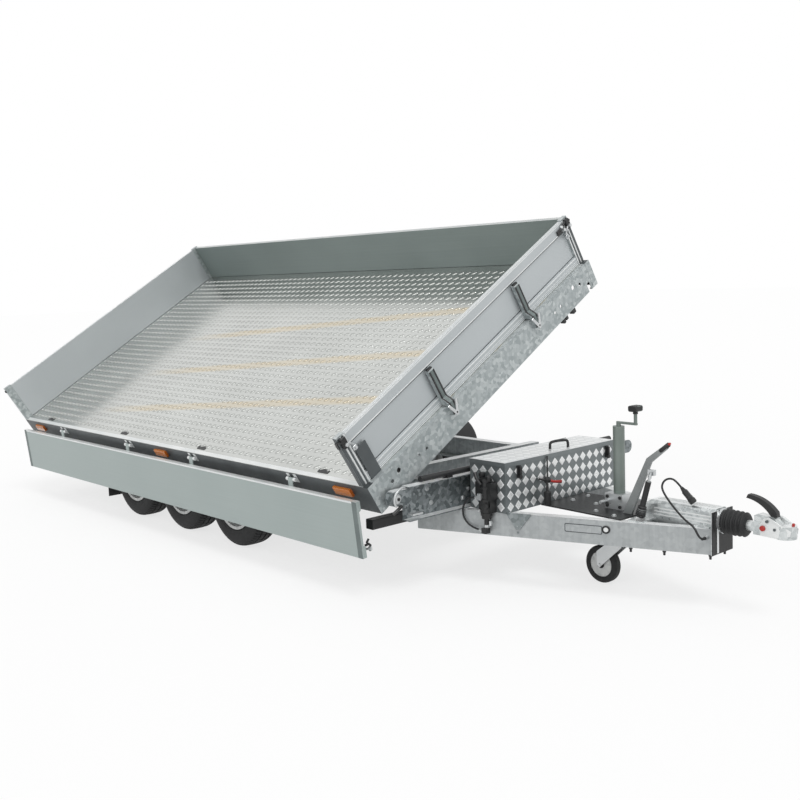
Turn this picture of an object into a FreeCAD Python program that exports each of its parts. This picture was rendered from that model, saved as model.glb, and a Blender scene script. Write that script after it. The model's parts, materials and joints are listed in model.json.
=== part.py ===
import FreeCAD, Part
import math
import os
import re

import Sketcher

# A three-axle tipper trailer with its bed tipped to the right and its right side board hanging open.
# Trailer coordinates: x ahead of the middle axle, y to the left, z above the ground, in millimetres.
# The shared frame has its origin at the centre of the towing ball, so place() takes that point away.

SIZES = {
    # towing ball
    "ball_ahead": 3800,
    "ball_height": 440,
    "socket_radius": 25.2,
    "socket_depth": 52,
    # bed
    "bed_length": 4125,
    "bed_width": 2050,
    "bed_ahead": 2128,
    "floor_sheet": 3,
    "tip_angle": 31.49,
    "pivot_in": 50,
    "pivot_below": 129,
    "pivot_height": 540,
    "pivot_radius": 14,
    "pivot_fit": 0.1,
    "pivot_play": 1.5,
    "pivot_head": 40,
    # bed frame
    "rail_out": 28,
    "rail_depth": 170,
    "rail_wall": 5,
    "rail_flange": 45,
    "rail_lip": 17,
    "front_overhang": 62,
    "front_flange": 40,
    "bearer_rear_in": 122,
    "bearer_front_in": 378,
    "bearer_depth": 34,
    "bearer_wide": 40,
    "bearer_wall": 4,
    "beam_middle": 570,
    "beam_wide": 40,
    "beam_short": 10,
    "rest_gap": 6,
    # boards
    "board_height": 300,
    "board_wall": 27,
    "board_panel": 15,
    "board_foot": 2,
    "board_low_rail": 50,
    "board_top_rail": 60,
    "board_slope": 6,
    "board_gap": 1,
    "post_wide": 55,
    "post_height": 308,
    "right_board_angle": 155.2,
    "strap_wide": 45,
    "strap_top": 228,
    "strap_below": 60,
    "strap_deep": 22,
    "strap_first": 660,
    "strap_apart": 805,
    "strap_step": 15,
    "strap_bend": 45,
    "strap_tip": 8,
    # board hinges
    "hinge_out": 40,
    "hinge_below": 35,
    "hinge_pin": 6,
    "hinge_fit": 0.05,
    "hinge_eye": 10,
    "hinge_leaf": 40,
    "hinge_leaf_wall": 5,
    "hinge_leaf_up": 60,
    "hinge_ear": 20,
    "hinge_gap": 0.5,
    "leaf_clear": 0.3,
    "hinge_rear_in": 655,
    "hinge_middle_back": 386.5,
    "hinge_middle_fore": 440.5,
    "hinge_front_in": 585,
    "rear_hinge": 620,
    # side markers
    "marker_long": 140,
    "marker_high": 45,
    "marker_deep": 15,
    "marker_below": 30,
    "marker_rear_in": 212,
    "marker_middle": 34.5,
    "marker_front_in": 156,
    # chassis
    "chassis_in": 425,
    "chassis_depth": 140,
    "chassis_flange": 60,
    "chassis_wall": 6,
    "chassis_top": 550,
    "nose_long": 80,
    "nose_drop": 60,
    "bolster_gap": 20,
    "bolster_deep": 55,
    "bolster_top": 590,
    "bolster_in": 75,
    "head_short": 10,
    "pin_proud": 5,
    "member_deep": 60,
    "member_ahead": 1840,
    "member_behind": 545,
    "forward_lift": 40,
    "forward_rise": 42,
    "rear_lift": 20,
    "outrigger_in": 25,
    "outrigger_ahead": 20,
    "outrigger_high": 48,
    "outrigger_deep": 50,
    "lamp_bar_back": 45,
    "lamp_bar_deep": 40,
    "lamp_bar_in": 145,
    "lamp_bar_low": 300,
    "lamp_bar_high": 60,
    "hanger_in": 20,
    "hanger_wide": 60,
    "hanger_wall": 6,
    "lamp_in": 245,
    "lamp_long": 240,
    "lamp_low": 285,
    "lamp_high": 90,
    "lamp_deep": 30,
    # drawbar
    "drawbar_depth": 124,
    "drawbar_flange": 56,
    "drawbar_wall": 6,
    "drawbar_under": 188,
    "drawbar_out": 21,
    "drawbar_ahead": 3477,
    "drawbar_nose": 75.375,
    "deck_wall": 6,
    "deck_in": 8,
    "deck_clear": 2,
    "gland_behind": 22,
    "gland_height": 84,
    "gland_radius": 9,
    "gland_root": 7.6,
    "gland_out": 20.375,
    # axles and wheels
    "axle_spacing": 640.5,
    "axle_square": 60,
    "axle_wall": 6,
    "axle_below": 15,
    "arm_length": 150,
    "arm_out": 55,
    "arm_wall": 25,
    "arm_round": 38,
    "seat_reach": 50,
    "spindle_radius": 17,
    "spindle_fit": 0.05,
    "spindle_proud": 5,
    "wheel_height": 300,
    "tyre_radius": 300,
    "tyre_wide": 170,
    "tyre_in": 117,
    "tyre_foot": 14,
    "tyre_bulge": 3,
    "tyre_wall_curve": 110,
    "tyre_shoulder": 15,
    "tyre_shoulder_in": 23,
    "tyre_shoulder_curve": 26,
    "rim_radius": 178,
    "rim_flange": 12,
    "rim_wall": 6,
    "rim_gap": 0.3,
    "hub_radius": 40,
    "hub_inner": 30,
    "hub_outer": 40,
    "disc_wall": 8,
    "disc_step": 2,
    "crown_in": 68,
    "crown_out": 20,
    "heel_in": 28,
    "heel_out": 4,
    "lip_in": 3,
    "lip_wall": 4,
    "vent_circle": 130,
    "vent_radius": 11,
    # mudguards
    "guard_over": 32,
    "guard_clear": 23,
    "guard_wall": 4,
    "guard_top": 620,
    "guard_reach": 352,
    "guard_bend": 200,
    "guard_front_end": 400,
    "guard_rear_end": 100,
    "stay_wide": 40,
    "stay_wall": 6,
    "stay_drop": 70,
    "stay_short": 10,
    # tool box
    "box_long": 250,
    "box_half": 460,
    "box_high": 262,
    "box_wall": 3,
    "box_gap": 5,
    "lid_skirt": 20,
    "lid_wall": 3,
    "lid_gap": 0.5,
    "lid_clear": 2,
    "lid_edge": 1,
    "lid_hinge": 4,
    "lid_hinge_up": 2,
    "lid_leaf": 20,
    "lid_pin": 2,
    "lid_fit": 0.05,
    "lid_knuckle": 60,
    "lid_ear": 20,
    "lid_hinge_apart": 300,
    # hand pump
    "pump_ahead": 150,
    "pump_up": 30,
    "pump_out": 40,
    "pump_radius": 26,
    "pump_low": 60,
    "pump_long": 210,
    "plunger_low": 110,
    "tank_rear": 60,
    "tank_front": 45,
    "tank_low": 40,
    "tank_high": 130,
    "tank_deep": 58,
    "valve_rear": 45,
    "valve_front": 35,
    "valve_low": 30,
    "valve_deep": 50,
    "filler_behind": 35,
    "filler_out": 30,
    "filler_radius": 15,
    "filler_high": 30,
    # hose
    "hose_radius": 5,
    "union_half": 10,
    "union_deep": 18,
    "elbow_behind": 16,
    "elbow_front": 14,
    "elbow_inner": 30,
    "elbow_outer": 66,
    "elbow_low": 138,
    "elbow_high": 28,
    # lock bar
    "lock_radius": 16,
    "lock_lift": 22,
    "lock_in": 100,
    "lock_behind": 24,
    "saddle_half": 18,
    "saddle_high": 20,
    # ram
    "ram_ahead": 300,
    "ram_height": 400,
    "ram_eye_below": 120,
    "ram_radius": 60,
    "ram_wall": 6,
    "ram_stage_gap": 0.5,
    "ram_stage_wall": 7,
    "ram_above": 35,
    "ram_under": 260,
    "ram_stage": 290,
    "ram_step": 5,
    "ram_ball": 22,
    "trunnion_radius": 14,
    "trunnion_fit": 0.1,
    "cheek_gap": 54,
    "cheek_wall": 8,
    "ram_beam_gap": 140,
    "ram_beam_wide": 40,
    "ram_beam_under": 40,
    "ram_beam_drop": 40,
    "ram_seat_half": 60,
    "ram_seat_wall": 6,
    "ram_seat_wide": 140,
    "cheek_root": 65,
    "cheek_tip": 30,
    "ram_neck": 25,
    # jockey wheel
    "jockey_forward": 375,
    "jockey_radius": 30,
    "jockey_inner": 24,
    "jockey_top": 845,
    "jockey_foot": 240,
    "jockey_trail": 110,
    "jockey_wheel_radius": 100,
    "jockey_wheel_wide": 50,
    "jockey_pin": 8,
    "jockey_fit": 0.05,
    "swivel_gap": 0.5,
    "fork_half": 36,
    "fork_wall": 5,
    "fork_end": 16,
    "fork_neck": 30,
    "fork_back": 40,
    "fork_shoulder": 25,
    "fork_drop": 70,
    "leg_step": 400,
    "crank_neck": 12,
    "crank_wall": 12,
    "crank_reach": 112,
    "crank_back": 10,
    "crank_half": 7,
    "grip_in": 8,
    "grip_pin": 9,
    "grip_up": 60,
    "grip_half": 24,
    "grip_high": 28,
    "grip_wide": 30,
    "jockey_hub": 20,
    "jockey_hub_half": 27,
    "jockey_disc": 8,
    "jockey_disc_out": 60,
    "jockey_bead": 66,
    "jockey_side": 72,
    "jockey_shoulder": 12,
    "jockey_shoulder_curve": 14,
    "clamp_high": 80,
    "clamp_rear": 60,
    "clamp_front": 48,
    "clamp_half": 45,
    "clamp_screw": 9,
    "clamp_screw_long": 60,
    # overrun housing
    "housing_long": 412,
    "housing_gap": 15,
    "housing_half": 55,
    "housing_high": 92,
    "housing_nose": 84,
    "housing_round": 25,
    "housing_tail": 50,
    "housing_tail_long": 55,
    "strap_plate": 80,
    "strap_plate_wall": 8,
    "strap_plate_in": 4.25,
    "strap_rear": 397,
    "strap_front": 97,
    "end_half": 90,
    "end_wall": 8,
    "shaft_up": 30,
    "collar_radius": 54,
    "collar_long": 22,
    # bellows
    "bellows_pitch": 24,
    "bellows_valley": 48,
    "bellows_ridge": 62,
    "bellows_mouth": 42,
    # coupling
    "shaft_radius": 25,
    "shaft_long": 80,
    "head_half_high": 30,
    "head_behind": 140,
    "head_neck": 50,
    "head_tail_half": 32,
    "head_waist_half": 34,
    "head_radius": 52,
    "crest_wide": 44,
    "grip_thick": 30,
    # handbrake
    "lever_left": -75,
    "lever_thick": 14,
    "strut_ahead": 3100,
    "strut_left": -115,
    "strut_up": 14,
    "strut_lean": 16,
    "strut_boot": 20,
    "strut_boot_high": 45,
    "strut_tube": 13,
    "strut_tube_high": 190,
    "strut_rod": 5,
    "strut_high": 235,
    # plug and its cable
    "cable_radius": 5,
    "plug_long": 96,
    "plug_radius": 19,
    "plug_neck": 9,
    "plug_neck_long": 22,
    "plug_lip": 3,
}

doc = FreeCAD.newDocument("dump_trailer")
sheet = doc.addObject("Spreadsheet::Sheet", "sizes")
for row, (alias, value) in enumerate(SIZES.items(), start=1):
    sheet.set(f"A{row}", str(value))
    sheet.setAlias(f"A{row}", alias)
doc.recompute()

# Expressions of the driving sizes that several pieces share
BED_REAR = "(bed_ahead - bed_length)"
FRONT_FRAME = "(bed_ahead + front_overhang)"
BED_MIDDLE = "(bed_ahead - bed_length/2)"
REAR_FRAME = f"({BED_REAR} - rail_out)"
FRONT_BOLSTER = f"({FRONT_FRAME} + bolster_gap)"
REAR_BOLSTER = f"({REAR_FRAME} + 4*bolster_gap)"
CHASSIS_FLOOR = "(chassis_top - chassis_depth)"
PIVOT_HALF = "(bed_width/2 - pivot_in)"
FLOOR_LOWERED = "(pivot_height + pivot_below)"
BEAM_DEPTH = f"({FLOOR_LOWERED} - floor_sheet - bearer_depth - chassis_top - rest_gap)"
BOX_REAR = f"({FRONT_BOLSTER} + bolster_deep + box_gap)"
BOX_FRONT = f"({BOX_REAR} + box_long)"
CHASSIS_HALF = "(bed_width/2 - chassis_in)"
CHASSIS_INSIDE = f"({CHASSIS_HALF} - chassis_flange)"
BOLSTER_HALF = f"({PIVOT_HALF} - bolster_in)"
TYRE_OUTER = "(bed_width/2 - tyre_in)"
WHEEL_MIDDLE = f"({TYRE_OUTER} - tyre_wide/2)"
ARM_INNER = f"({CHASSIS_HALF} + arm_out)"
GUARD_OUTER = f"({TYRE_OUTER} + guard_over)"
GUARD_INNER = f"({TYRE_OUTER} - tyre_wide - guard_clear)"
DRAWBAR_BEHIND = f"({FRONT_BOLSTER} - drawbar_under)"
DRAWBAR_SPREAD = f"({CHASSIS_HALF} + drawbar_out)"
DRAWBAR_SLOPE = f"(({DRAWBAR_SPREAD} - drawbar_nose)/(drawbar_ahead - {DRAWBAR_BEHIND}))"
JOCKEY_AHEAD = f"({BOX_FRONT} + jockey_forward)"
HOUSING_REAR = "(drawbar_ahead - housing_long)"
SHAFT_HEIGHT = f"({CHASSIS_FLOOR} + shaft_up)"
WORD = re.compile(r"[a-z][a-z_]*")
pieces = []


def bound(text):
    """The expression with every size's name read from the sheet."""
    return WORD.sub(lambda match: "sizes." + match.group() if match.group() in SIZES else match.group(),
                    str(text))


def number(text):
    """The present value of an expression of sizes."""
    return float(sheet.evalExpression(bound(text)))


def new_body(label, kept=True):
    """An empty body; a kept one is a sub-part of the trailer."""
    body = doc.addObject("PartDesign::Body", label)
    body.Label = label
    if kept:
        pieces.append(body)
    return body


def arc_between(start, stop, radius):
    """Arc of under half a turn, anticlockwise from start to stop when the radius is positive."""
    chord = stop - start
    half = chord.Length / 2
    rise = math.sqrt(max(radius * radius - half * half, 0))
    left = FreeCAD.Vector(-chord.y, chord.x, 0).normalize()
    middle = (start + stop) / 2
    side = 1 if radius > 0 else -1
    centre = middle + left * side * rise
    crown = centre - left * side * abs(radius)
    return Part.Arc(start, crown, stop)


def sketch_on(body, plane, points=(), circles=(), offset="0"):
    """A sketch of one closed outline and of circles on one of the body's own planes.

    points holds (across, up) corners, or (across, up, radius) where the side to the next corner is
    an arc: anticlockwise when the radius is positive. circles holds (across, up, radius).
    """
    sketch = body.newObject("Sketcher::SketchObject", "outline")
    origin = {feature.Role: feature for feature in body.Origin.OriginFeatures}
    sketch.AttachmentSupport = [(origin[plane + "_Plane"], "")]
    sketch.MapMode = "FlatFace"
    sketch.setExpression("AttachmentOffset.Base.z", bound(offset))

    def hold(kind, target, value):
        index = sketch.addConstraint(Sketcher.Constraint(kind, *target, number(value)))
        sketch.setExpression(f"Constraints[{index}]", bound(value))

    corners = [FreeCAD.Vector(number(point[0]), number(point[1]), 0) for point in points]
    ends = []
    for index, point in enumerate(points):
        start, stop = corners[index], corners[(index + 1) % len(corners)]
        if len(point) == 2:
            edge = sketch.addGeometry(Part.LineSegment(start, stop), False)
            ends.append((edge, 1, 2))
        else:
            radius = number(point[2])
            edge = sketch.addGeometry(arc_between(start, stop, radius), False)
            ends.append((edge, 1, 2) if radius > 0 else (edge, 2, 1))
    for index, (edge, first, last) in enumerate(ends):
        following = ends[(index + 1) % len(ends)]
        sketch.addConstraint(Sketcher.Constraint("Coincident", edge, last, following[0], following[1]))
    for (edge, first, last), point in zip(ends, points):
        hold("DistanceX", (-1, 1, edge, first), point[0])
        hold("DistanceY", (-1, 1, edge, first), point[1])
        if len(point) == 3:
            hold("Radius", (edge,), f"abs({point[2]})")
    for across, up, radius in circles:
        centre = FreeCAD.Vector(number(across), number(up), 0)
        ring = sketch.addGeometry(Part.Circle(centre, FreeCAD.Vector(0, 0, 1), number(radius)), False)
        hold("DistanceX", (-1, 1, ring, 3), across)
        hold("DistanceY", (-1, 1, ring, 3), up)
        hold("Radius", (ring,), radius)
    return sketch


def pad(body, sketch, length, both=False, back=False, lean=None):
    """Material along the sketch's normal; lean is a direction for a slanting pad."""
    feature = body.newObject("PartDesign::Pad", "pad")
    feature.Profile = sketch
    feature.setExpression("Length", bound(length))
    feature.SideType = "Symmetric" if both else "One side"
    feature.Reversed = back
    if lean:
        feature.UseCustomVector = True
        feature.Direction = FreeCAD.Vector(*[number(part) for part in lean])
        for axis, part in zip("xyz", lean):
            feature.setExpression(f"Direction.{axis}", bound(part))
    sketch.Visibility = False
    return feature


def pocket(body, sketch, length=None, both=False, back=False):
    """A cut along the sketch's normal, right through when no length is given."""
    doc.recompute()
    before = body.Shape.Volume
    feature = body.newObject("PartDesign::Pocket", "pocket")
    feature.Profile = sketch
    if length is None:
        feature.Type = "ThroughAll"
        feature.SideType = "Symmetric"
    else:
        feature.setExpression("Length", bound(length))
        feature.SideType = "Symmetric" if both else "One side"
        feature.Reversed = back
    doc.recompute()
    assert body.Shape.Volume < before - 1, body.Label + ": the cut removed nothing"
    return feature


def turned(body, sketch, axis="Z"):
    """A full turn of the sketch about one of the body's own axes."""
    feature = body.newObject("PartDesign::Revolution", "turned")
    feature.Profile = sketch
    origin = {item.Role: item for item in body.Origin.OriginFeatures}
    feature.ReferenceAxis = (origin[axis + "_Axis"], [""])
    feature.Angle = 360
    return feature


def place(item, ahead="0", left="0", up="0", turn=None):
    """Stands the item's own origin at a point of the trailer."""
    if turn:
        item.Placement = FreeCAD.Placement(FreeCAD.Vector(), turn)
    item.setExpression("Placement.Base.x", bound(f"{ahead} - ball_ahead"))
    item.setExpression("Placement.Base.y", bound(left))
    item.setExpression("Placement.Base.z", bound(f"{up} - ball_height"))


def place_in_bed(item, ahead="0", inward="0", up="0", opened="0", spin=None):
    """Stands the item in the tipped bed.

    inward runs across the floor from its right inner edge and up stands square to the floor.
    opened turns the item about the bed's long direction, and spin turns it first about its own upright.
    """
    across = f"(({inward}) - pivot_in)"
    above = f"(({up}) + pivot_below)"
    angle = number(f"tip_angle + {opened}")
    turn = FreeCAD.Rotation(FreeCAD.Vector(1, 0, 0), angle)
    if spin:
        turn = turn * FreeCAD.Rotation(FreeCAD.Vector(0, 0, 1), spin)
    left = f"{across}*cos(tip_angle) - {above}*sin(tip_angle) - {PIVOT_HALF}"
    height = f"{across}*sin(tip_angle) + {above}*cos(tip_angle) + pivot_height"
    place(item, ahead, left, height, turn)


def mirrored(points, about="0"):
    """The outline reflected across the upright line at about."""
    return [(f"{about} - ({point[0]})", point[1], *[f"-({radius})" for radius in point[2:]])
            for point in points]


def moved(points, across="0", up="0"):
    """The outline shifted by two expressions."""
    return [(f"{across} + ({point[0]})", f"{up} + ({point[1]})", *point[2:]) for point in points]


def rectangle(left, low, right, high):
    return [(left, low), (right, low), (right, high), (left, high)]


def beam_half(ahead):
    """How far a drawbar beam's outer face stands from the middle at a place ahead of the middle axle."""
    return f"(drawbar_nose + {DRAWBAR_SLOPE}*(drawbar_ahead - ({ahead})))"


def channel(depth, flange, wall, side=1):
    """A channel's section with its web's outer face on the upright axis and its flanges to one side."""
    reach, inner = f"{side}*({flange})", f"{side}*({wall})"
    return [("0", "0"), (reach, "0"), (reach, wall), (inner, wall),
            (inner, f"{depth} - {wall}"), (reach, f"{depth} - {wall}"), (reach, depth), ("0", depth)]


def compound(label, parts):
    """Like pieces that share one file, as solids that stand apart."""
    group = doc.addObject("Part::Compound", label)
    group.Label = label
    group.Links = parts
    pieces.append(group)
    return group


# Chassis rails

for side, name in ((-1, "right"), (1, "left")):
    rail = new_body(f"chassis_rail_{name}")
    section = channel("chassis_depth", "chassis_flange", "chassis_wall", -side)
    pad(rail, sketch_on(rail, "YZ", section), f"{FRONT_BOLSTER} - {REAR_BOLSTER}")
    nose = rectangle(f"{FRONT_BOLSTER} - {REAR_BOLSTER} - nose_long", "chassis_depth - nose_drop",
                     f"{FRONT_BOLSTER} - {REAR_BOLSTER} + 1", "chassis_depth + 1")
    pocket(rail, sketch_on(rail, "XZ", nose))
    place(rail, REAR_BOLSTER, f"{side}*{CHASSIS_HALF}", CHASSIS_FLOOR)

# Bolsters: cross channels whose end heads carry the four tipping pins

HEAD = [(f"{PIVOT_HALF} - 2.5*pivot_head", "-pivot_head"), (PIVOT_HALF, "-pivot_head", "pivot_head"),
        (f"{PIVOT_HALF} + pivot_head", "0", "pivot_head"), (PIVOT_HALF, "pivot_head"),
        (f"{PIVOT_HALF} - 2.5*pivot_head", "pivot_head")]
# name, where its web stands, the way its flanges point, how far its pins reach the other way
BOLSTERS = (("front", FRONT_BOLSTER, 1, "bolster_gap + rail_wall + pin_proud"),
            ("rear", REAR_BOLSTER, -1, "4*bolster_gap + pin_proud"))
for name, ahead, way, reach in BOLSTERS:
    bolster = new_body(f"{name}_bolster")
    section = channel("bolster_top - " + CHASSIS_FLOOR, "bolster_deep", "chassis_wall", way)
    section = moved(section, "0", f"{CHASSIS_FLOOR} - pivot_height")
    pad(bolster, sketch_on(bolster, "XZ", section), f"2*{BOLSTER_HALF}", both=True)
    for side in (1, -1):
        head = HEAD if side > 0 else mirrored(HEAD)
        pad(bolster, sketch_on(bolster, "YZ", head), "bolster_deep - head_short", back=way < 0)
        pin = sketch_on(bolster, "YZ", circles=[(f"{side}*{PIVOT_HALF}", "0", "pivot_radius")])
        pad(bolster, pin, reach, back=True)
    place(bolster, ahead, "0", "pivot_height")

# Cross members between the rails, the outriggers and the rear lamp bar

members = []
RAM_LOW, RAM_HIGH = "ram_height - ram_beam_under", "chassis_top - ram_beam_drop"
# name, ahead of the middle axle, fore and aft, half width, low, high
MEMBERS = (("forward_member", "member_ahead", "member_deep", CHASSIS_INSIDE,
            f"{CHASSIS_FLOOR} + forward_lift", "chassis_top + forward_rise"),
           ("ram_member_front", "ram_ahead + ram_beam_gap/2", "ram_beam_wide", CHASSIS_INSIDE,
            RAM_LOW, RAM_HIGH),
           ("ram_member_rear", "ram_ahead - ram_beam_gap/2 - ram_beam_wide", "ram_beam_wide",
            CHASSIS_INSIDE, RAM_LOW, RAM_HIGH),
           ("rear_member", f"{REAR_BOLSTER} + member_behind", "member_deep", f"{CHASSIS_HALF} - chassis_wall",
            f"{CHASSIS_FLOOR} + rear_lift", "chassis_top - rear_lift"),
           ("lamp_bar", f"{REAR_BOLSTER} - lamp_bar_back", "lamp_bar_deep", "bed_width/2 - lamp_bar_in",
            "lamp_bar_low", "lamp_bar_low + lamp_bar_high"))
for name, ahead, deep, half, low, high in MEMBERS:
    member = new_body(name, kept=False)
    pad(member, sketch_on(member, "XZ", rectangle("0", low, deep, high)), f"2*({half})", both=True)
    if name.startswith("ram_member"):
        hole = sketch_on(member, "YZ", circles=[("0", "ram_height", "trunnion_radius + trunnion_fit")])
        pocket(member, hole)
    if name == "lamp_bar":
        for side in (-1, 1):
            hanger = rectangle(f"{side}*({CHASSIS_HALF} - hanger_in)", high,
                               f"{side}*({CHASSIS_HALF} - hanger_in - hanger_wide)", CHASSIS_FLOOR)
            pad(member, sketch_on(member, "YZ", hanger), "hanger_wall")
    place(member, ahead)
    members.append(member)
for side, name in ((-1, "right"), (1, "left")):
    outrigger = new_body(f"outrigger_{name}", kept=False)
    section = rectangle("0", f"{CHASSIS_FLOOR} - outrigger_high", "outrigger_deep", CHASSIS_FLOOR)
    root = f"({DRAWBAR_SPREAD} - {DRAWBAR_SLOPE}*outrigger_ahead)"
    pad(outrigger, sketch_on(outrigger, "XZ", section), f"bed_width/2 - outrigger_in - {root}",
        back=side > 0)
    place(outrigger, f"{DRAWBAR_BEHIND} + outrigger_ahead", f"{side}*{root}")
    members.append(outrigger)
compound("cross_members", members)

# Drawbar: two channels that run together towards the coupling

GLAND_AHEAD = "(drawbar_ahead - gland_behind)"
for side, name in ((-1, "right"), (1, "left")):
    beam = new_body(f"drawbar_beam_{name}")
    section = channel("drawbar_depth", "drawbar_flange", "drawbar_wall", -side)
    pad(beam, sketch_on(beam, "YZ", section), f"drawbar_ahead - {DRAWBAR_BEHIND}",
        lean=("1", f"{-side}*{DRAWBAR_SLOPE}", "0"))
    if name == "right":
        gland = sketch_on(beam, "XZ", circles=[(f"{GLAND_AHEAD} - {DRAWBAR_BEHIND}", "gland_height",
                                                "gland_radius")],
                          offset=f"{beam_half(GLAND_AHEAD)} - gland_root - {DRAWBAR_SPREAD}")
        pad(beam, gland, "gland_root + gland_out")
    place(beam, DRAWBAR_BEHIND, f"{side}*{DRAWBAR_SPREAD}", f"{CHASSIS_FLOOR} - drawbar_depth")

deck = new_body("deck_plate")
DECK_REAR = f"({BOX_FRONT} + box_gap)"
DECK_FRONT = f"({HOUSING_REAR} - housing_gap)"
rear_half, front_half = f"({beam_half(DECK_REAR)} - deck_in)", f"({beam_half(DECK_FRONT)} - deck_in)"
outline = [(DECK_REAR, f"-{rear_half}"), (DECK_FRONT, f"-{front_half}"),
           (DECK_FRONT, front_half), (DECK_REAR, rear_half)]
pad(deck, sketch_on(deck, "XY", outline, [(JOCKEY_AHEAD, "0", "jockey_radius + deck_clear")]), "deck_wall")
place(deck, "0", "0", CHASSIS_FLOOR)

# Axles: a square rubber-spring tube, with a trailing arm and a spindle at each end

for number_of_axle in (1, 2, 3):
    axle = new_body(f"axle_{number_of_axle}")
    beam_low = f"{CHASSIS_FLOOR} - axle_below - axle_square"
    beam = rectangle("arm_length - axle_square/2", beam_low, "arm_length + axle_square/2",
                     f"{beam_low} + axle_square")
    pad(axle, sketch_on(axle, "XZ", beam), f"2*{ARM_INNER}", both=True)
    inside = rectangle("arm_length - axle_square/2 + axle_wall", f"{beam_low} + axle_wall",
                       "arm_length + axle_square/2 - axle_wall", f"{beam_low} + axle_square - axle_wall")
    pocket(axle, sketch_on(axle, "XZ", inside))
    for side in (-1, 1):
        seat = rectangle("arm_length - seat_reach", f"{beam_low} + axle_square",
                         "arm_length + seat_reach", CHASSIS_FLOOR)
        seat_start = f"{-side}*{CHASSIS_INSIDE}"
        pad(axle, sketch_on(axle, "XZ", seat, offset=seat_start), "chassis_flange", back=side > 0)
        arm_start = f"{-side}*{ARM_INNER}"
        high = f"({beam_low} + axle_square/2)"
        arm = [("0", "wheel_height - arm_round"), ("arm_length", f"{high} - arm_round", "arm_round"),
               (f"arm_length + arm_round", high, "arm_round"), ("arm_length", f"{high} + arm_round"),
               ("0", "wheel_height + arm_round", "arm_round"), ("-arm_round", "wheel_height", "arm_round")]
        pad(axle, sketch_on(axle, "XZ", arm, offset=arm_start), "arm_wall", back=side > 0)
        spindle = sketch_on(axle, "XZ", circles=[("0", "wheel_height", "spindle_radius")],
                            offset=arm_start)
        pad(axle, spindle, f"{WHEEL_MIDDLE} + hub_outer + spindle_proud - {ARM_INNER}", back=side > 0)
    place(axle, f"axle_spacing*{2 - number_of_axle}")

# Wheels: a steel rim and its tyre, turned about the spindle; radius first, then outward along the axle

LIP, SEAT = "(tyre_wide/2 - lip_in)", "(tyre_wide/2 - lip_in - lip_wall)"
RIM = [("spindle_radius + spindle_fit", "-hub_inner"), ("hub_radius", "-hub_inner"), ("hub_radius", "disc_wall"),
       ("rim_radius - crown_in", "crown_out"), ("rim_radius - heel_in", "heel_out"),
       ("rim_radius - rim_wall", "heel_out"), ("rim_radius - rim_wall", f"-{LIP}"),
       ("rim_radius + rim_flange", f"-{LIP}"), ("rim_radius + rim_flange", f"-{SEAT}"),
       ("rim_radius", f"-{SEAT}"), ("rim_radius", SEAT), ("rim_radius + rim_flange", SEAT),
       ("rim_radius + rim_flange", LIP), ("rim_radius - rim_wall", LIP),
       ("rim_radius - rim_wall", "heel_out + disc_wall"),
       ("rim_radius - heel_in + disc_step", "heel_out + disc_wall"),
       ("rim_radius - crown_in + disc_step", "crown_out + disc_wall"), ("hub_radius", "2*disc_wall"),
       ("hub_radius", "hub_outer"), ("spindle_radius + spindle_fit", "hub_outer")]
BEAD = f"({SEAT} - rim_gap)"
SHOULDER = "tyre_radius - tyre_shoulder"
TYRE = [("rim_radius + rim_gap", f"-{BEAD}"), ("rim_radius + tyre_foot", f"-{BEAD}", "tyre_wall_curve"),
        (SHOULDER, f"-{BEAD} + tyre_bulge", "tyre_shoulder_curve"),
        ("tyre_radius", f"-{BEAD} + tyre_shoulder_in"),
        ("tyre_radius", f"{BEAD} - tyre_shoulder_in", "tyre_shoulder_curve"),
        (SHOULDER, f"{BEAD} - tyre_bulge", "tyre_wall_curve"),
        ("rim_radius + tyre_foot", BEAD), ("rim_radius + rim_gap", BEAD)]
VENTS = 8
vents = [(f"vent_circle*cos({vent}*360/{VENTS})", f"vent_circle*sin({vent}*360/{VENTS})", "vent_radius")
         for vent in range(VENTS)]
for number_of_axle in (1, 2, 3):
    for side, name in ((-1, "right"), (1, "left")):
        turn = FreeCAD.Rotation(FreeCAD.Vector(1, 0, 0), -90 * side)
        for kind, outline in (("rim", RIM), ("tyre", TYRE)):
            wheel = new_body(f"{kind}_{name}_{number_of_axle}")
            turned(wheel, sketch_on(wheel, "XZ", outline))
            if kind == "rim":
                pocket(wheel, sketch_on(wheel, "XY", circles=vents))
            place(wheel, f"axle_spacing*{2 - number_of_axle}", f"{side}*{WHEEL_MIDDLE}", "wheel_height",
                  turn)

# Mudguards: one strip over the three wheels of a side, with two stays to the rail

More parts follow.
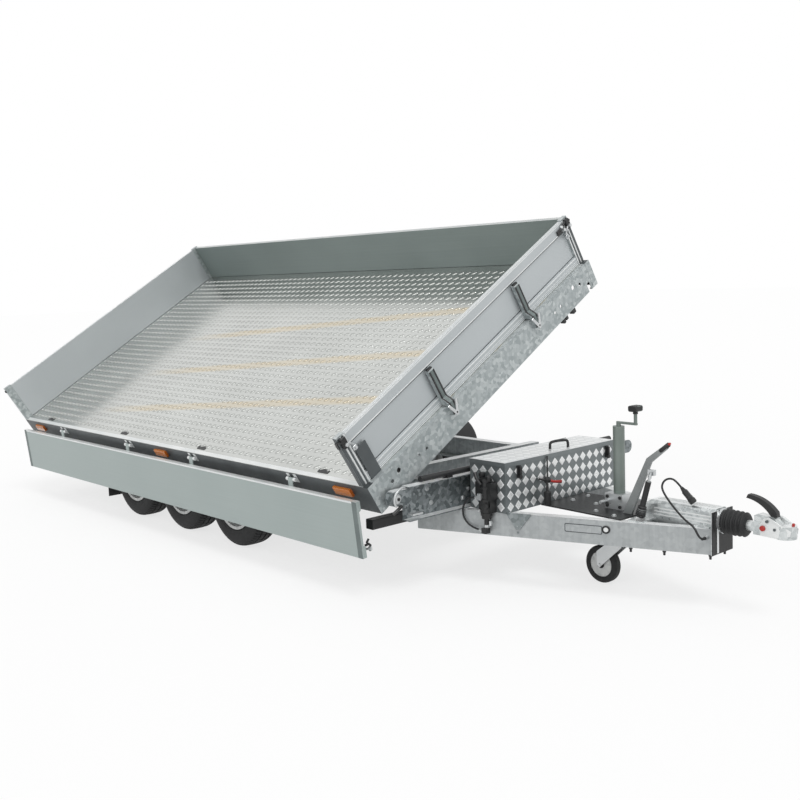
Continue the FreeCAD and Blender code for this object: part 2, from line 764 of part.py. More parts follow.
GUARD_END = "(axle_spacing + guard_reach)"
for side, name in ((-1, "right"), (1, "left")):
    guard = new_body(f"mudguard_{name}")
    outer = [(f"-{GUARD_END}", "guard_rear_end"), (f"-{GUARD_END} + guard_wall", "guard_rear_end"),
             (f"-{GUARD_END} + guard_wall", "guard_top - guard_bend", "-(guard_bend - guard_wall)"),
             (f"-{GUARD_END} + guard_bend", "guard_top - guard_wall"),
             (f"{GUARD_END} - guard_bend", "guard_top - guard_wall", "-(guard_bend - guard_wall)"),
             (f"{GUARD_END} - guard_wall", "guard_top - guard_bend"),
             (f"{GUARD_END} - guard_wall", "guard_front_end"), (GUARD_END, "guard_front_end"),
             (GUARD_END, "guard_top - guard_bend", "guard_bend"),
             (f"{GUARD_END} - guard_bend", "guard_top"),
             (f"-{GUARD_END} + guard_bend", "guard_top", "guard_bend"),
             (f"-{GUARD_END}", "guard_top - guard_bend")]
    pad(guard, sketch_on(guard, "XZ", outer, offset=f"{-side}*{GUARD_INNER}"),
        f"{GUARD_OUTER} - {GUARD_INNER}", back=side > 0)
    for ahead in (-1, 1):
        middle = f"{ahead}*axle_spacing/2"
        stay_low = "(guard_top - guard_wall - stay_wall)"
        arm = [(CHASSIS_HALF, "chassis_top - stay_drop"), (f"{CHASSIS_HALF} + stay_wall", "chassis_top - stay_drop"),
               (f"{CHASSIS_HALF} + stay_wall", stay_low), (f"{GUARD_OUTER} - stay_short", stay_low),
               (f"{GUARD_OUTER} - stay_short", "guard_top - guard_wall"),
               (CHASSIS_HALF, "guard_top - guard_wall")]
        arm = arm if side > 0 else mirrored(arm)
        pad(guard, sketch_on(guard, "YZ", arm, offset=f"{middle} - stay_wide/2"), "stay_wide")
    place(guard)

# Rear lamps

lamps = []
for side, name in ((-1, "right"), (1, "left")):
    lamp = new_body(f"lamp_{name}", kept=False)
    face = rectangle("-lamp_deep", "lamp_low", "0", "lamp_low + lamp_high")
    pad(lamp, sketch_on(lamp, "XZ", face), "lamp_long", both=True)
    place(lamp, f"{REAR_BOLSTER} - lamp_bar_back", f"{side}*(bed_width/2 - lamp_in)")
    lamps.append(lamp)
compound("rear_lamps", lamps)

# Bed: floor, edge rails, bearers and beams

floor = new_body("bed_floor")
pad(floor, sketch_on(floor, "XY", rectangle(f"{BED_REAR} - board_wall", "-board_wall",
                                            "bed_ahead + board_wall", "bed_width + board_wall"),
                     offset="-floor_sheet"), "floor_sheet")
place_in_bed(floor)

EDGE = [("-rail_out", "-floor_sheet"), ("-rail_out", "-rail_depth"), ("-rail_out + rail_lip", "-rail_depth"),
        ("-rail_out + rail_lip", "-rail_depth + rail_wall"), ("-rail_out + rail_wall", "-rail_depth + rail_wall"),
        ("-rail_out + rail_wall", "-floor_sheet - rail_wall"),
        ("-rail_out + rail_flange", "-floor_sheet - rail_wall"), ("-rail_out + rail_flange", "-floor_sheet")]
EAR = [("-rail_out", "-hinge_below + hinge_eye"), ("-hinge_out", "-hinge_below + hinge_eye", "hinge_eye"),
       ("-hinge_out - hinge_eye", "-hinge_below", "hinge_eye"),
       ("-hinge_out", "-hinge_below - hinge_eye"), ("-rail_out", "-hinge_below - hinge_eye")]
CAP = rectangle("-rail_out", "-rail_depth", "-rail_out + rail_flange", "-floor_sheet")
SIDE_HINGES = (f"{BED_REAR} + hinge_rear_in", f"{BED_MIDDLE} - hinge_middle_back",
               f"{BED_MIDDLE} + hinge_middle_fore", "bed_ahead - hinge_front_in")
REAR_HINGES = ("-rear_hinge", "rear_hinge")


def edge_rail(label, start, stop, hinges, about=None, caps=True):
    """An edge rail of the bed with the fixed ears and the pin of each board hinge.

    Its length runs along x from start to stop; about mirrors it to the far edge of the floor.
    """
    flip = (lambda points: mirrored(points, about)) if about else (lambda points: points)
    rail = new_body(label)
    pad(rail, sketch_on(rail, "YZ", flip(EDGE), offset=start), f"{stop} - ({start})")
    for end in (start, f"{stop} - rail_wall") if caps else ():
        pad(rail, sketch_on(rail, "YZ", flip(CAP), offset=end), "rail_wall")
    across = f"{about} + hinge_out" if about else "-hinge_out"
    for middle in hinges:
        half = "(hinge_leaf/2 + hinge_gap)"
        for ear_start in (f"{middle} - {half} - hinge_ear", f"{middle} + {half}"):
            pad(rail, sketch_on(rail, "YZ", flip(EAR), offset=ear_start), "hinge_ear")
        pin = sketch_on(rail, "YZ", circles=[(across, "-hinge_below", "hinge_pin")],
                        offset=f"{middle} - {half} - hinge_ear")
        pad(rail, pin, f"2*({half} + hinge_ear)")
    return rail


place_in_bed(edge_rail("side_rail_right", REAR_FRAME, FRONT_FRAME, SIDE_HINGES))
place_in_bed(edge_rail("side_rail_left", REAR_FRAME, FRONT_FRAME, SIDE_HINGES, about="bed_width"))

BETWEEN = "(bed_width/2 + rail_out - rail_flange)"
rear_frame = edge_rail("rear_frame", f"-{BETWEEN}", BETWEEN, REAR_HINGES, caps=False)
front_frame = new_body("front_frame")
FRONT_EDGE = [("0", "-floor_sheet"), ("-front_flange", "-floor_sheet"),
              ("-front_flange", "-floor_sheet - rail_wall"), ("-rail_wall", "-floor_sheet - rail_wall"),
              ("-rail_wall", "-rail_depth + rail_wall"), ("-rail_lip", "-rail_depth + rail_wall"),
              ("-rail_lip", "-rail_depth"), ("0", "-rail_depth")]
pad(front_frame, sketch_on(front_frame, "XZ", FRONT_EDGE), f"2*{BETWEEN}", both=True)
for side, play in ((-1, "pivot_fit"), (1, "pivot_play")):
    across = f"{side}*{PIVOT_HALF}"
    wide = f"(pivot_radius + {play})"
    notch = [(f"{across} - {wide}", "-rail_depth - 5"), (f"{across} + {wide}", "-rail_depth - 5"),
             (f"{across} + {wide}", "-pivot_below", wide), (across, f"-pivot_below + {wide}", wide),
             (f"{across} - {wide}", "-pivot_below")]
    pocket(front_frame, sketch_on(front_frame, "YZ", notch))
    sideways = [(f"-({point[0]})", point[1], *[f"-({radius})" for radius in point[2:]]) for point in notch]
    pocket(rear_frame, sketch_on(rear_frame, "XZ", sideways))
# in from each end of the floor, below it, radius
HOLES = (("120", "81", "11"), ("185", "62", "14"), ("338", "91", "9"), ("401", "94", "9"))
holes = [(f"{side}*(bed_width/2 - {inward})", f"-{below}", radius)
         for side in (-1, 1) for inward, below, radius in HOLES]
pocket(front_frame, sketch_on(front_frame, "YZ", circles=holes))
place_in_bed(front_frame, FRONT_FRAME, "bed_width/2")
place_in_bed(rear_frame, BED_REAR, "bed_width/2", spin=-90)

bearers = []
for step in range(-3, 3):
    over_ram = step == 0
    bearer = new_body("ram_bearer" if over_ram else f"bearer_{step + 4}", kept=over_ram)
    section = moved(channel("bearer_depth", "bearer_wide", "bearer_wall"),
                    "-bearer_wide/2", "-floor_sheet - bearer_depth")
    pad(bearer, sketch_on(bearer, "XZ", section), f"2*{BETWEEN}", both=True)
    if over_ram:
        top = "-floor_sheet - bearer_depth"
        seat = rectangle("-ram_seat_half", f"{top} - ram_seat_wall", "ram_seat_half", top)
        pad(bearer, sketch_on(bearer, "XZ", seat), "ram_seat_wide", both=True)
        cheek = [("-cheek_root", f"{top} - ram_seat_wall"), ("-cheek_tip", "-ram_eye_below - cheek_tip"),
                 ("cheek_tip", "-ram_eye_below - cheek_tip"), ("cheek_root", f"{top} - ram_seat_wall")]
        for start in ("cheek_gap/2", "-cheek_gap/2 - cheek_wall"):
            pad(bearer, sketch_on(bearer, "YZ", cheek, offset=start), "cheek_wall")
    behind = f"(ram_ahead - {BED_REAR} - bearer_rear_in)/3"
    pitch = behind if step < 0 else "(bed_ahead - ram_ahead - bearer_front_in)/2"
    place_in_bed(bearer, f"ram_ahead + {step}*{pitch}", "bed_width/2")
    if not over_ram:
        bearers.append(bearer)
compound("floor_bearers", bearers)

beams = []
for side, name in ((-1, "right"), (1, "left")):
    beam = new_body(f"bed_beam_{name}", kept=False)
    section = moved(channel(BEAM_DEPTH, "beam_wide", "rail_wall", -side),
                    f"{side}*(beam_middle + beam_wide/2)",
                    f"-floor_sheet - bearer_depth - {BEAM_DEPTH}")
    pad(beam, sketch_on(beam, "YZ", section),
        f"{FRONT_FRAME} - rail_wall - ({REAR_BOLSTER} + beam_short)")
    place_in_bed(beam, f"{REAR_BOLSTER} + beam_short", "bed_width/2")
    beams.append(beam)
compound("bed_beams", beams)

# Boards: a panel between a low rail and a top rail, with its smooth face to the load

BOARD = [("board_wall", "board_foot"), ("board_wall", "board_height"), ("0", "board_height"),
         ("0", "board_height - board_top_rail"),
         ("board_wall - board_panel", "board_height - board_top_rail - board_slope"),
         ("board_wall - board_panel", "board_low_rail + board_slope"), ("0", "board_low_rail"),
         ("0", "board_foot")]
LEAF_OUT = "(hinge_out - board_wall)"
LEAF_LOW = "(hinge_out - rail_out - leaf_clear)"
LEAF = [("hinge_eye", "0", "-hinge_eye"), ("0", "-hinge_eye", "-hinge_eye"), ("-hinge_eye", "0", "-hinge_eye"),
        ("0", "hinge_eye"), (f"{LEAF_OUT} - hinge_leaf_wall", "2*hinge_eye"),
        (f"{LEAF_OUT} - hinge_leaf_wall", "hinge_below + hinge_leaf_up"),
        (LEAF_OUT, "hinge_below + hinge_leaf_up"), (LEAF_OUT, "hinge_below + board_foot"),
        (LEAF_LOW, "hinge_below + board_foot"), (LEAF_LOW, "hinge_eye")]


def drop_board(label, start, stop, hinges, side=1):
    """A board that swings about its hinge line at the origin; side -1 opens the other way."""
    flip = mirrored if side < 0 else (lambda points: points)
    board = new_body(label)
    section = moved(BOARD, "hinge_out - board_wall", "hinge_below")
    pad(board, sketch_on(board, "YZ", flip(section), offset=start), f"{stop} - ({start})")
    for middle in hinges:
        leaf = sketch_on(board, "YZ", flip(LEAF), [("0", "0", "hinge_pin + hinge_fit")],
                         offset=f"{middle} - hinge_leaf/2")
        pad(board, leaf, "hinge_leaf")
    return board


inner_start, inner_stop = f"{BED_REAR} + board_gap", "bed_ahead - board_gap"
place_in_bed(drop_board("side_board_right", inner_start, inner_stop, SIDE_HINGES),
             "0", "-hinge_out", "-hinge_below", opened="right_board_angle")
place_in_bed(drop_board("side_board_left", inner_start, inner_stop, SIDE_HINGES, side=-1),
             "0", "bed_width + hinge_out", "-hinge_below")
END_HALF = "(bed_width/2 + board_wall - post_wide - board_gap)"
place_in_bed(drop_board("rear_board", f"-{END_HALF}", END_HALF, REAR_HINGES),
             f"{BED_REAR} - hinge_out", "bed_width/2", "-hinge_below", spin=-90)

front_board = new_body("front_board")
section = [(f"board_wall - ({point[0]})", point[1]) for point in BOARD]
pad(front_board, sketch_on(front_board, "XZ", section), f"2*({END_HALF} + board_gap)", both=True)
place_in_bed(front_board, "bed_ahead", "bed_width/2")

posts = []
# name, its rear face, its right face
POSTS = (("post_front_right", "bed_ahead", "-board_wall"),
         ("post_front_left", "bed_ahead", "bed_width + board_wall - post_wide"),
         ("post_rear_right", f"{BED_REAR} - board_wall", "-board_wall"),
         ("post_rear_left", f"{BED_REAR} - board_wall", "bed_width + board_wall - post_wide"))
for name, ahead, inward in POSTS:
    post = new_body(name, kept=False)
    pad(post, sketch_on(post, "XY", rectangle("0", "0", "board_wall", "post_wide")), "post_height")
    place_in_bed(post, ahead, inward)
    posts.append(post)
STRAP = [("board_wall", "board_foot"), ("front_overhang", "board_foot"), ("front_overhang", "-strap_below"),
         ("front_overhang + strap_deep", "-strap_below"), ("front_overhang + strap_deep", "strap_step"),
         ("board_wall + strap_deep", "strap_bend"), ("board_wall + strap_deep", "strap_top - strap_tip"),
         ("board_wall", "strap_top")]
for index, inward in enumerate(("strap_first", "strap_first + strap_apart"), start=1):
    strap = new_body(f"front_strap_{index}", kept=False)
    pad(strap, sketch_on(strap, "XZ", STRAP), "strap_wide", both=True)
    place_in_bed(strap, "bed_ahead", inward)
    posts.append(strap)
compound("board_posts", posts)

markers = []
for ahead in (f"{BED_REAR} + marker_rear_in", f"{BED_MIDDLE} + marker_middle", "bed_ahead - marker_front_in"):
    for side, inward in (("right", "-rail_out - marker_deep"), ("left", "bed_width + rail_out")):
        marker = new_body(f"marker_{side}_{len(markers) + 1}", kept=False)
        face = rectangle("-marker_long/2", "0", "marker_long/2", "marker_deep")
        pad(marker, sketch_on(marker, "XY", face), "marker_high")
        place_in_bed(marker, ahead, inward, "-marker_below - marker_high")
        markers.append(marker)
compound("side_markers", markers)

# Tipping ram: a barrel on trunnions, two tube stages and a rod whose ball sits between the bed's cheeks

EYE_INWARD = "(bed_width/2 - pivot_in)"
EYE_ABOVE = "(pivot_below - ram_eye_below)"
eye_left = number(f"{EYE_INWARD}*cos(tip_angle) - {EYE_ABOVE}*sin(tip_angle) - {PIVOT_HALF}")
eye_height = number(f"{EYE_INWARD}*sin(tip_angle) + {EYE_ABOVE}*cos(tip_angle) + pivot_height - ram_height")
ram_length = math.hypot(eye_left, eye_height)
ram_lean = math.degrees(math.atan2(-eye_left, eye_height))
ram_lowered = number(f"{FLOOR_LOWERED} - ram_eye_below - ram_height")
travel = (ram_length - ram_lowered) / 3
lean_turn = FreeCAD.Rotation(FreeCAD.Vector(1, 0, 0), ram_lean)


def tube_outline(outer, inner, low, high, closed):
    """Half section of a tube; closed is the thickness of its bottom."""
    if not closed:
        return rectangle(inner, low, outer, high)
    return [("0", low), (outer, low), (outer, high), (inner, high), (inner, f"{low} + {closed}"),
            ("0", f"{low} + {closed}")]


def stage_radius(stage):
    return f"(ram_radius - ram_wall - ram_stage_gap - {stage}*(ram_stage_wall + ram_stage_gap))"


barrel = new_body("ram_barrel")
turned(barrel, sketch_on(barrel, "XZ", tube_outline("ram_radius", "(ram_radius - ram_wall)", "-ram_under",
                                                    "ram_above", "8")))
for way in (False, True):
    trunnion = sketch_on(barrel, "YZ", circles=[("0", "0", "trunnion_radius")],
                         offset=f"{-1 if way else 1}*(ram_radius - ram_wall/2)")
    pad(barrel, trunnion, "ram_beam_gap/2 + ram_beam_wide - ram_radius + ram_wall/2", back=way)
for stage in (0, 1):
    tube = new_body(f"ram_stage_{stage + 1}")
    low = f"(-ram_under + 15 + {stage}*ram_step + {travel * (stage + 1)})"
    turned(tube, sketch_on(tube, "XZ", tube_outline(stage_radius(stage),
                                                    f"({stage_radius(stage)} - ram_stage_wall)", low,
                                                    f"({low} + ram_stage + {stage}*ram_step)", None)))
rod = new_body("ram_rod")
low = f"(-ram_under + 15 + 2*ram_step + {travel * 3})"
neck = f"({ram_length} - ram_ball*0.8)"
turned(rod, sketch_on(rod, "XZ", [("0", low), (stage_radius(2), low), (stage_radius(2), f"{neck} - 40"),
                                  ("ram_ball*0.6", f"{neck} - ram_neck"), ("ram_ball*0.6", neck, "ram_ball"),
                                  ("ram_ball*0.6", f"{neck} + ram_ball*1.6"),
                                  ("0", f"{neck} + ram_ball*1.6")]))
for item in pieces[-4:]:
    place(item, "ram_ahead", "0", "ram_height", lean_turn)

# Tool box and its lid

tool_box = new_body("tool_box")
pad(tool_box, sketch_on(tool_box, "XY", rectangle("0", "-box_half", "box_long", "box_half")), "box_high")
hollow = rectangle("box_wall", "-box_half + box_wall", "box_long - box_wall", "box_half - box_wall")
pocket(tool_box, sketch_on(tool_box, "XY", hollow, offset="box_wall"), "box_high", back=True)
HINGE_LINE = ("-lid_hinge", "lid_hinge_up")
EAR_SIDE = [("0", "-lid_leaf"), ("0", "lid_hinge_up", "lid_hinge"),
            ("-lid_hinge", "lid_hinge_up + lid_hinge", "lid_hinge"), ("-2*lid_hinge", "lid_hinge_up"),
            ("-2*lid_hinge", "-lid_leaf")]
LID_HINGES = ("-lid_hinge_apart", "0", "lid_hinge_apart")
for middle in LID_HINGES:
    half = "(lid_knuckle/2 + hinge_gap)"
    for start in (f"{middle} - {half} - lid_ear", f"{middle} + {half}"):
        ear = sketch_on(tool_box, "XZ", moved(EAR_SIDE, "0", "box_high"), offset=start)
        pad(tool_box, ear, "lid_ear")
    pin = sketch_on(tool_box, "XZ", circles=[(HINGE_LINE[0], "box_high + lid_hinge_up", "lid_pin")],
                    offset=f"{middle} - {half} - lid_ear")
    pad(tool_box, pin, f"2*({half} + lid_ear)")
place(tool_box, BOX_REAR, "0", CHASSIS_FLOOR)

lid = new_body("box_lid")
lid_front, lid_half = "(box_long + lid_clear + lid_wall)", "(box_half + lid_clear + lid_wall)"
pad(lid, sketch_on(lid, "XY", rectangle("lid_edge", f"-{lid_half}", lid_front, lid_half), offset="lid_gap"),
    "lid_wall")
pad(lid, sketch_on(lid, "XY", rectangle(f"{lid_front} - lid_wall", f"-{lid_half}", lid_front, lid_half),
                   offset="lid_gap"), "lid_skirt", back=True)
for side in (-1, 1):
    skirt = rectangle("lid_clear", f"{side}*({lid_half} - lid_wall)", lid_front, f"{side}*{lid_half}")
    pad(lid, sketch_on(lid, "XY", skirt, offset="lid_gap"), "lid_skirt", back=True)
for middle in LID_HINGES:
    start = f"{middle} - lid_knuckle/2"
    rings = [(*HINGE_LINE, "lid_hinge"), (*HINGE_LINE, "lid_pin + lid_fit")]
    tongue = rectangle("-lid_hinge + lid_pin + 1", "lid_gap", "lid_edge + 1", "lid_gap + lid_wall")
    pad(lid, sketch_on(lid, "XZ", tongue, offset=start), "lid_knuckle")
    pad(lid, sketch_on(lid, "XZ", circles=rings, offset=start), "lid_knuckle")
place(lid, BOX_REAR, "0", f"{CHASSIS_FLOOR} + box_high")

# Hand pump on the end of the tool box, and the bar above the front bolster

pump = new_body("hand_pump")
# what it is, rear, low, front, high, how far it stands out, how far out it starts
BLOCKS = (("tank", "-tank_rear", "tank_low", "tank_front", "tank_high", "tank_deep", "0"),
          ("valve", "-valve_rear", "-valve_low", "valve_front", "tank_low", "valve_deep", "0"),
          ("union", "-3*union_half + 1", "5*union_half - 0.5", "-union_half + 1", "7*union_half + 1",
           "union_deep", "tank_deep"),
          ("elbow", "-elbow_behind", "-elbow_low", "elbow_front", "-elbow_low + elbow_high",
           "elbow_outer - elbow_inner", "elbow_inner"))
for name, rear, low, front, high, deep, out in BLOCKS:
    pad(pump, sketch_on(pump, "XZ", rectangle(rear, low, front, high), offset=out), deep)
pad(pump, sketch_on(pump, "XY", circles=[("0", "-pump_out", "pump_radius")], offset="-pump_low"), "pump_long")
pad(pump, sketch_on(pump, "XY", circles=[("0", "-pump_out", "pump_radius/2")], offset="-plunger_low"),
    "pump_low")
pad(pump, sketch_on(pump, "XY", circles=[("-filler_behind", "-filler_out", "filler_radius")],
                    offset="tank_high"), "filler_high")
place(pump, f"{BOX_REAR} + pump_ahead", "-box_half", f"{CHASSIS_FLOOR} + pump_up")

lock_bar = new_body("tip_lock_bar")
pad(lock_bar, sketch_on(lock_bar, "XZ", circles=[("0", "lock_lift", "lock_radius")]),
    f"2*({BOLSTER_HALF} - lock_in)", both=True)
for side in (-1, 0, 1):
    saddle = sketch_on(lock_bar, "XZ", rectangle("-saddle_half", "0", "saddle_half", "saddle_high"),
                       offset=f"{side}*{CHASSIS_HALF} - saddle_high")
    pad(lock_bar, saddle, "2*saddle_high")
place(lock_bar, f"{FRONT_BOLSTER} + bolster_deep - lock_behind", "0", "bolster_top")

# Jockey wheel

leg = new_body("jockey_leg")
CRANK = "(jockey_top + crank_wall)"
turned(leg, sketch_on(leg, "XZ", [("0", "jockey_foot"), ("jockey_inner", "jockey_foot"),
                                  ("jockey_inner", "leg_step"), ("jockey_radius", "leg_step"),
                                  ("jockey_radius", "jockey_top"), ("crank_neck", "jockey_top"),
                                  ("crank_neck", CRANK), ("0", CRANK)]))
pad(leg, sketch_on(leg, "XY", rectangle("-crank_back", "-crank_half", "crank_reach", "crank_half"),
                   offset=CRANK), "crank_wall")
pad(leg, sketch_on(leg, "XY", circles=[("crank_reach - grip_in", "0", "grip_pin")],
                   offset=f"{CRANK} + crank_wall"), "grip_up")
grip = rectangle("crank_reach - grip_in - grip_half", f"{CRANK} + crank_wall + grip_up",
                 "crank_reach - grip_in + grip_half", f"{CRANK} + crank_wall + grip_up + grip_high")
pad(leg, sketch_on(leg, "XZ", grip), "grip_wide", both=True)
place(leg, JOCKEY_AHEAD)

clamp = new_body("jockey_clamp")
pad(clamp, sketch_on(clamp, "XY", rectangle("-clamp_rear", "-clamp_half", "clamp_front", "clamp_half"),
                     [("0", "0", "jockey_radius")]), "clamp_high")
pad(clamp, sketch_on(clamp, "XZ", circles=[("-clamp_half", "clamp_high/2", "clamp_screw")],
                     offset="clamp_half"), "clamp_screw_long")
place(clamp, JOCKEY_AHEAD, "0", f"{CHASSIS_FLOOR} + deck_wall")

fork = new_body("jockey_fork")
FORK_TOP = "(jockey_foot - swivel_gap)"
cheek = [("-jockey_trail - fork_end", "jockey_wheel_radius"),
         ("-jockey_trail", "jockey_wheel_radius - fork_end"),
         ("-jockey_trail + fork_end", "jockey_wheel_radius"), ("fork_neck", "jockey_foot - fork_shoulder"),
         ("fork_neck", FORK_TOP), ("-fork_back", FORK_TOP),
         ("-jockey_trail - fork_end", "jockey_foot - fork_drop")]
pad(fork, sketch_on(fork, "XZ", cheek), "2*fork_half", both=True)
gap = rectangle("-fork_half + fork_wall", "0", "fork_half - fork_wall", f"{FORK_TOP} - 3*fork_wall")
pocket(fork, sketch_on(fork, "YZ", gap))
pad(fork, sketch_on(fork, "XZ", circles=[("-jockey_trail", "jockey_wheel_radius", "jockey_pin")]),
    "2*(fork_half + fork_wall - 1)", both=True)
place(fork, JOCKEY_AHEAD)

jockey_wheel = new_body("jockey_wheel")
TREAD = "(jockey_wheel_radius - jockey_shoulder)"
HALF_WHEEL = [("jockey_pin + jockey_fit", "-jockey_hub_half"), ("jockey_hub", "-jockey_hub_half"),
              ("jockey_hub + 2", "-jockey_disc"), ("jockey_disc_out", "-jockey_disc"),
              ("jockey_bead", "-jockey_hub"), ("jockey_side", "-jockey_wheel_wide/2"),
              (TREAD, "-jockey_wheel_wide/2", "jockey_shoulder_curve"),
              ("jockey_wheel_radius", "-jockey_shoulder")]
OTHER_HALF = [("jockey_wheel_radius", "jockey_shoulder", "jockey_shoulder_curve")]
OTHER_HALF += [(point[0], point[1][1:]) for point in reversed(HALF_WHEEL[:-1])]
turned(jockey_wheel, sketch_on(jockey_wheel, "XZ", HALF_WHEEL + OTHER_HALF))
place(jockey_wheel, f"{JOCKEY_AHEAD} - jockey_trail", "0", "jockey_wheel_radius",
      FreeCAD.Rotation(FreeCAD.Vector(1, 0, 0), 90))

# Overrun housing, bellows, coupling head and its handle

housing = new_body("overrun_housing")
section = [("-housing_half", "0"), ("housing_half", "0"),
           ("housing_half", "housing_high - housing_round", "housing_round"),
           ("housing_half - housing_round", "housing_high"),
           ("-housing_half + housing_round", "housing_high", "housing_round"),
           ("-housing_half", "housing_high - housing_round")]
pad(housing, sketch_on(housing, "YZ", section), "housing_long", back=True)
SLANT = [("-housing_long", "housing_tail"), ("-housing_long + housing_tail_long", "housing_high"),
         ("-housing_long + housing_tail_long", "housing_high + 1"), ("-housing_long - 1", "housing_high + 1"),
         ("-housing_long - 1", "housing_tail")]
pocket(housing, sketch_on(housing, "XZ", SLANT))
for back in ("strap_rear", "strap_front"):
    half = f"({beam_half(f'drawbar_ahead - {back} + strap_plate')} - strap_plate_in)"
    strap = rectangle(f"-{back}", f"-{half}", f"-{back} + strap_plate", half)
    pad(housing, sketch_on(housing, "XY", strap), "strap_plate_wall")
end_plate = rectangle("-end_half", "-drawbar_depth", "end_half", "housing_nose")
pad(housing, sketch_on(housing, "YZ", end_plate), "end_wall")
pad(housing, sketch_on(housing, "YZ", circles=[("0", "shaft_up", "collar_radius")]), "collar_long")
place(housing, "drawbar_ahead", "0", CHASSIS_FLOOR)

bellows = new_body("bellows")
RIDGES = 5
ridge_line = [("0", "0")]
for ridge in range(RIDGES):
    ridge_line += [("bellows_valley", f"{ridge}*bellows_pitch"),
                   ("bellows_ridge", f"({ridge} + 0.5)*bellows_pitch")]
BELLOWS_END = f"{RIDGES}*bellows_pitch"
ridge_line += [("bellows_mouth", BELLOWS_END), ("0", BELLOWS_END)]
turned(bellows, sketch_on(bellows, "XZ", ridge_line))
place(bellows, "drawbar_ahead + collar_long", "0", SHAFT_HEIGHT, FreeCAD.Rotation(FreeCAD.Vector(0, 1, 0), 90))

coupling = new_body("coupling_head")
shaft = sketch_on(coupling, "YZ", circles=[("0", f"{SHAFT_HEIGHT} - ball_height", "shaft_radius")],
                  offset=f"drawbar_ahead + collar_long + {BELLOWS_END} - ball_ahead")
pad(coupling, shaft, "shaft_long")
plan = [("-head_behind", "-head_tail_half"), ("-head_neck", "-head_waist_half"),
        ("0", "-head_radius", "head_radius"), ("head_radius", "0", "head_radius"), ("0", "head_radius"),
        ("-head_neck", "head_waist_half"), ("-head_behind", "head_tail_half")]
pad(coupling, sketch_on(coupling, "XY", plan, offset="-head_half_high"), "2*head_half_high")
CREST = [("-head_behind", "head_half_high"), ("-20", "head_half_high"), ("-45", "2*head_half_high"),
         ("-120", "66"), ("-head_behind", "58")]
pad(coupling, sketch_on(coupling, "XZ", CREST), "crest_wide", both=True)
pocket(coupling, sketch_on(coupling, "XY", circles=[("0", "0", "socket_radius")], offset="-head_half_high"),
       "socket_depth", back=True)
place(coupling, "ball_ahead", "0", "ball_height")

handle = new_body("coupling_handle")
GRIP = [("-175", "150"), ("-184", "132", "-170"), ("-62", "61.7"), ("-32", "60.4"), ("-34", "82", "190")]
pad(handle, sketch_on(handle, "XZ", GRIP), "grip_thick", both=True)
place(handle, "ball_ahead", "0", "ball_height")

# Handbrake lever and its gas strut

lever = new_body("handbrake", kept=False)
LEVER = [("-90", "6"), ("-40", "6"), ("79", "284"), ("173", "362"), ("161", "382"), ("53", "302"), ("-75", "40")]
pad(lever, sketch_on(lever, "XZ", LEVER), "lever_thick", both=True)
place(lever, HOUSING_REAR, "lever_left", CHASSIS_FLOOR)
strut = new_body("strut", kept=False)
turned(strut, sketch_on(strut, "XZ", [("0", "0"), ("strut_boot", "0"), ("strut_boot", "strut_boot_high"),
                                      ("strut_tube", "strut_boot_high + strut_rod"),
                                      ("strut_tube", "strut_tube_high"),
                                      ("strut_rod", "strut_tube_high + strut_rod"),
                                      ("strut_rod", "strut_high"), ("0", "strut_high")]))
place(strut, "strut_ahead", "strut_left", f"{CHASSIS_FLOOR} + strut_up",
      FreeCAD.Rotation(FreeCAD.Vector(0, 1, 0), number("strut_lean")))
compound("handbrake_lever", [lever, strut])

# Plug cable from the gland on the right beam up and over to its plug, and the pump's hose

CABLE = ((3455, -104, 370), (3455, -132, 370), (3448, -151, 389), (3428, -152, 428), (3372, -143, 452),
         (3316, -130, 488), (3256, -114, 535), (3218, -101, 574), (3216.5, -94, 602), (3234, -86, 624),
         (3262, -77, 628), (3284.5, -69.5, 610.2), (3301.3, -62.8, 588.3))
HOSE = ((2391, -527, 490), (2334, -527, 490), (2283, -535, 439), (2282.5, -536, 367), (2334, -516, 316),
        (2404, -516, 316))
ARC_SHARE = 0.45


def tube(label, route, radius):
    """A round tube along straight runs that tangent arcs join, each arc as large as its two runs allow."""
    corners = [FreeCAD.Vector(*point) for point in route]
    here, edges, radii = corners[0], [], []
    for before, corner, after in zip(corners, corners[1:], corners[2:]):
        run_in, run_out = corner - before, after - corner
        half_turn = run_in.getAngle(run_out) / 2
        trim = ARC_SHARE * min(run_in.Length, run_out.Length)
        radii.append(trim / math.tan(half_turn))
        way_in, way_out = run_in.normalize(), run_out.normalize()
        start, stop = corner - way_in * trim, corner + way_out * trim
        inward = (way_out - way_in).normalize()
        crown = corner + inward * (radii[-1] / math.cos(half_turn) - radii[-1])
        edges += [Part.LineSegment(here, start).toShape(), Part.Arc(start, crown, stop).toShape()]
        here = stop
    edges.append(Part.LineSegment(here, corners[-1]).toShape())
    path = Part.Wire(edges)
    section = Part.Wire(Part.Circle(corners[0], corners[1] - corners[0], number(radius)).toShape())
    item = doc.addObject("Part::Feature", label)
    item.Label = label
    item.Shape = path.makePipeShell([section], True, False)
    expected = math.pi * number(radius) ** 2 * path.Length
    print(label, "length", round(path.Length), "mm, arc radii", [round(size) for size in radii])
    assert abs(item.Shape.Volume / expected - 1) < 0.005, label + ": the tube's volume is off"
    place(item)
    pieces.append(item)
    return corners[-1], (corners[-1] - corners[-2]).normalize()


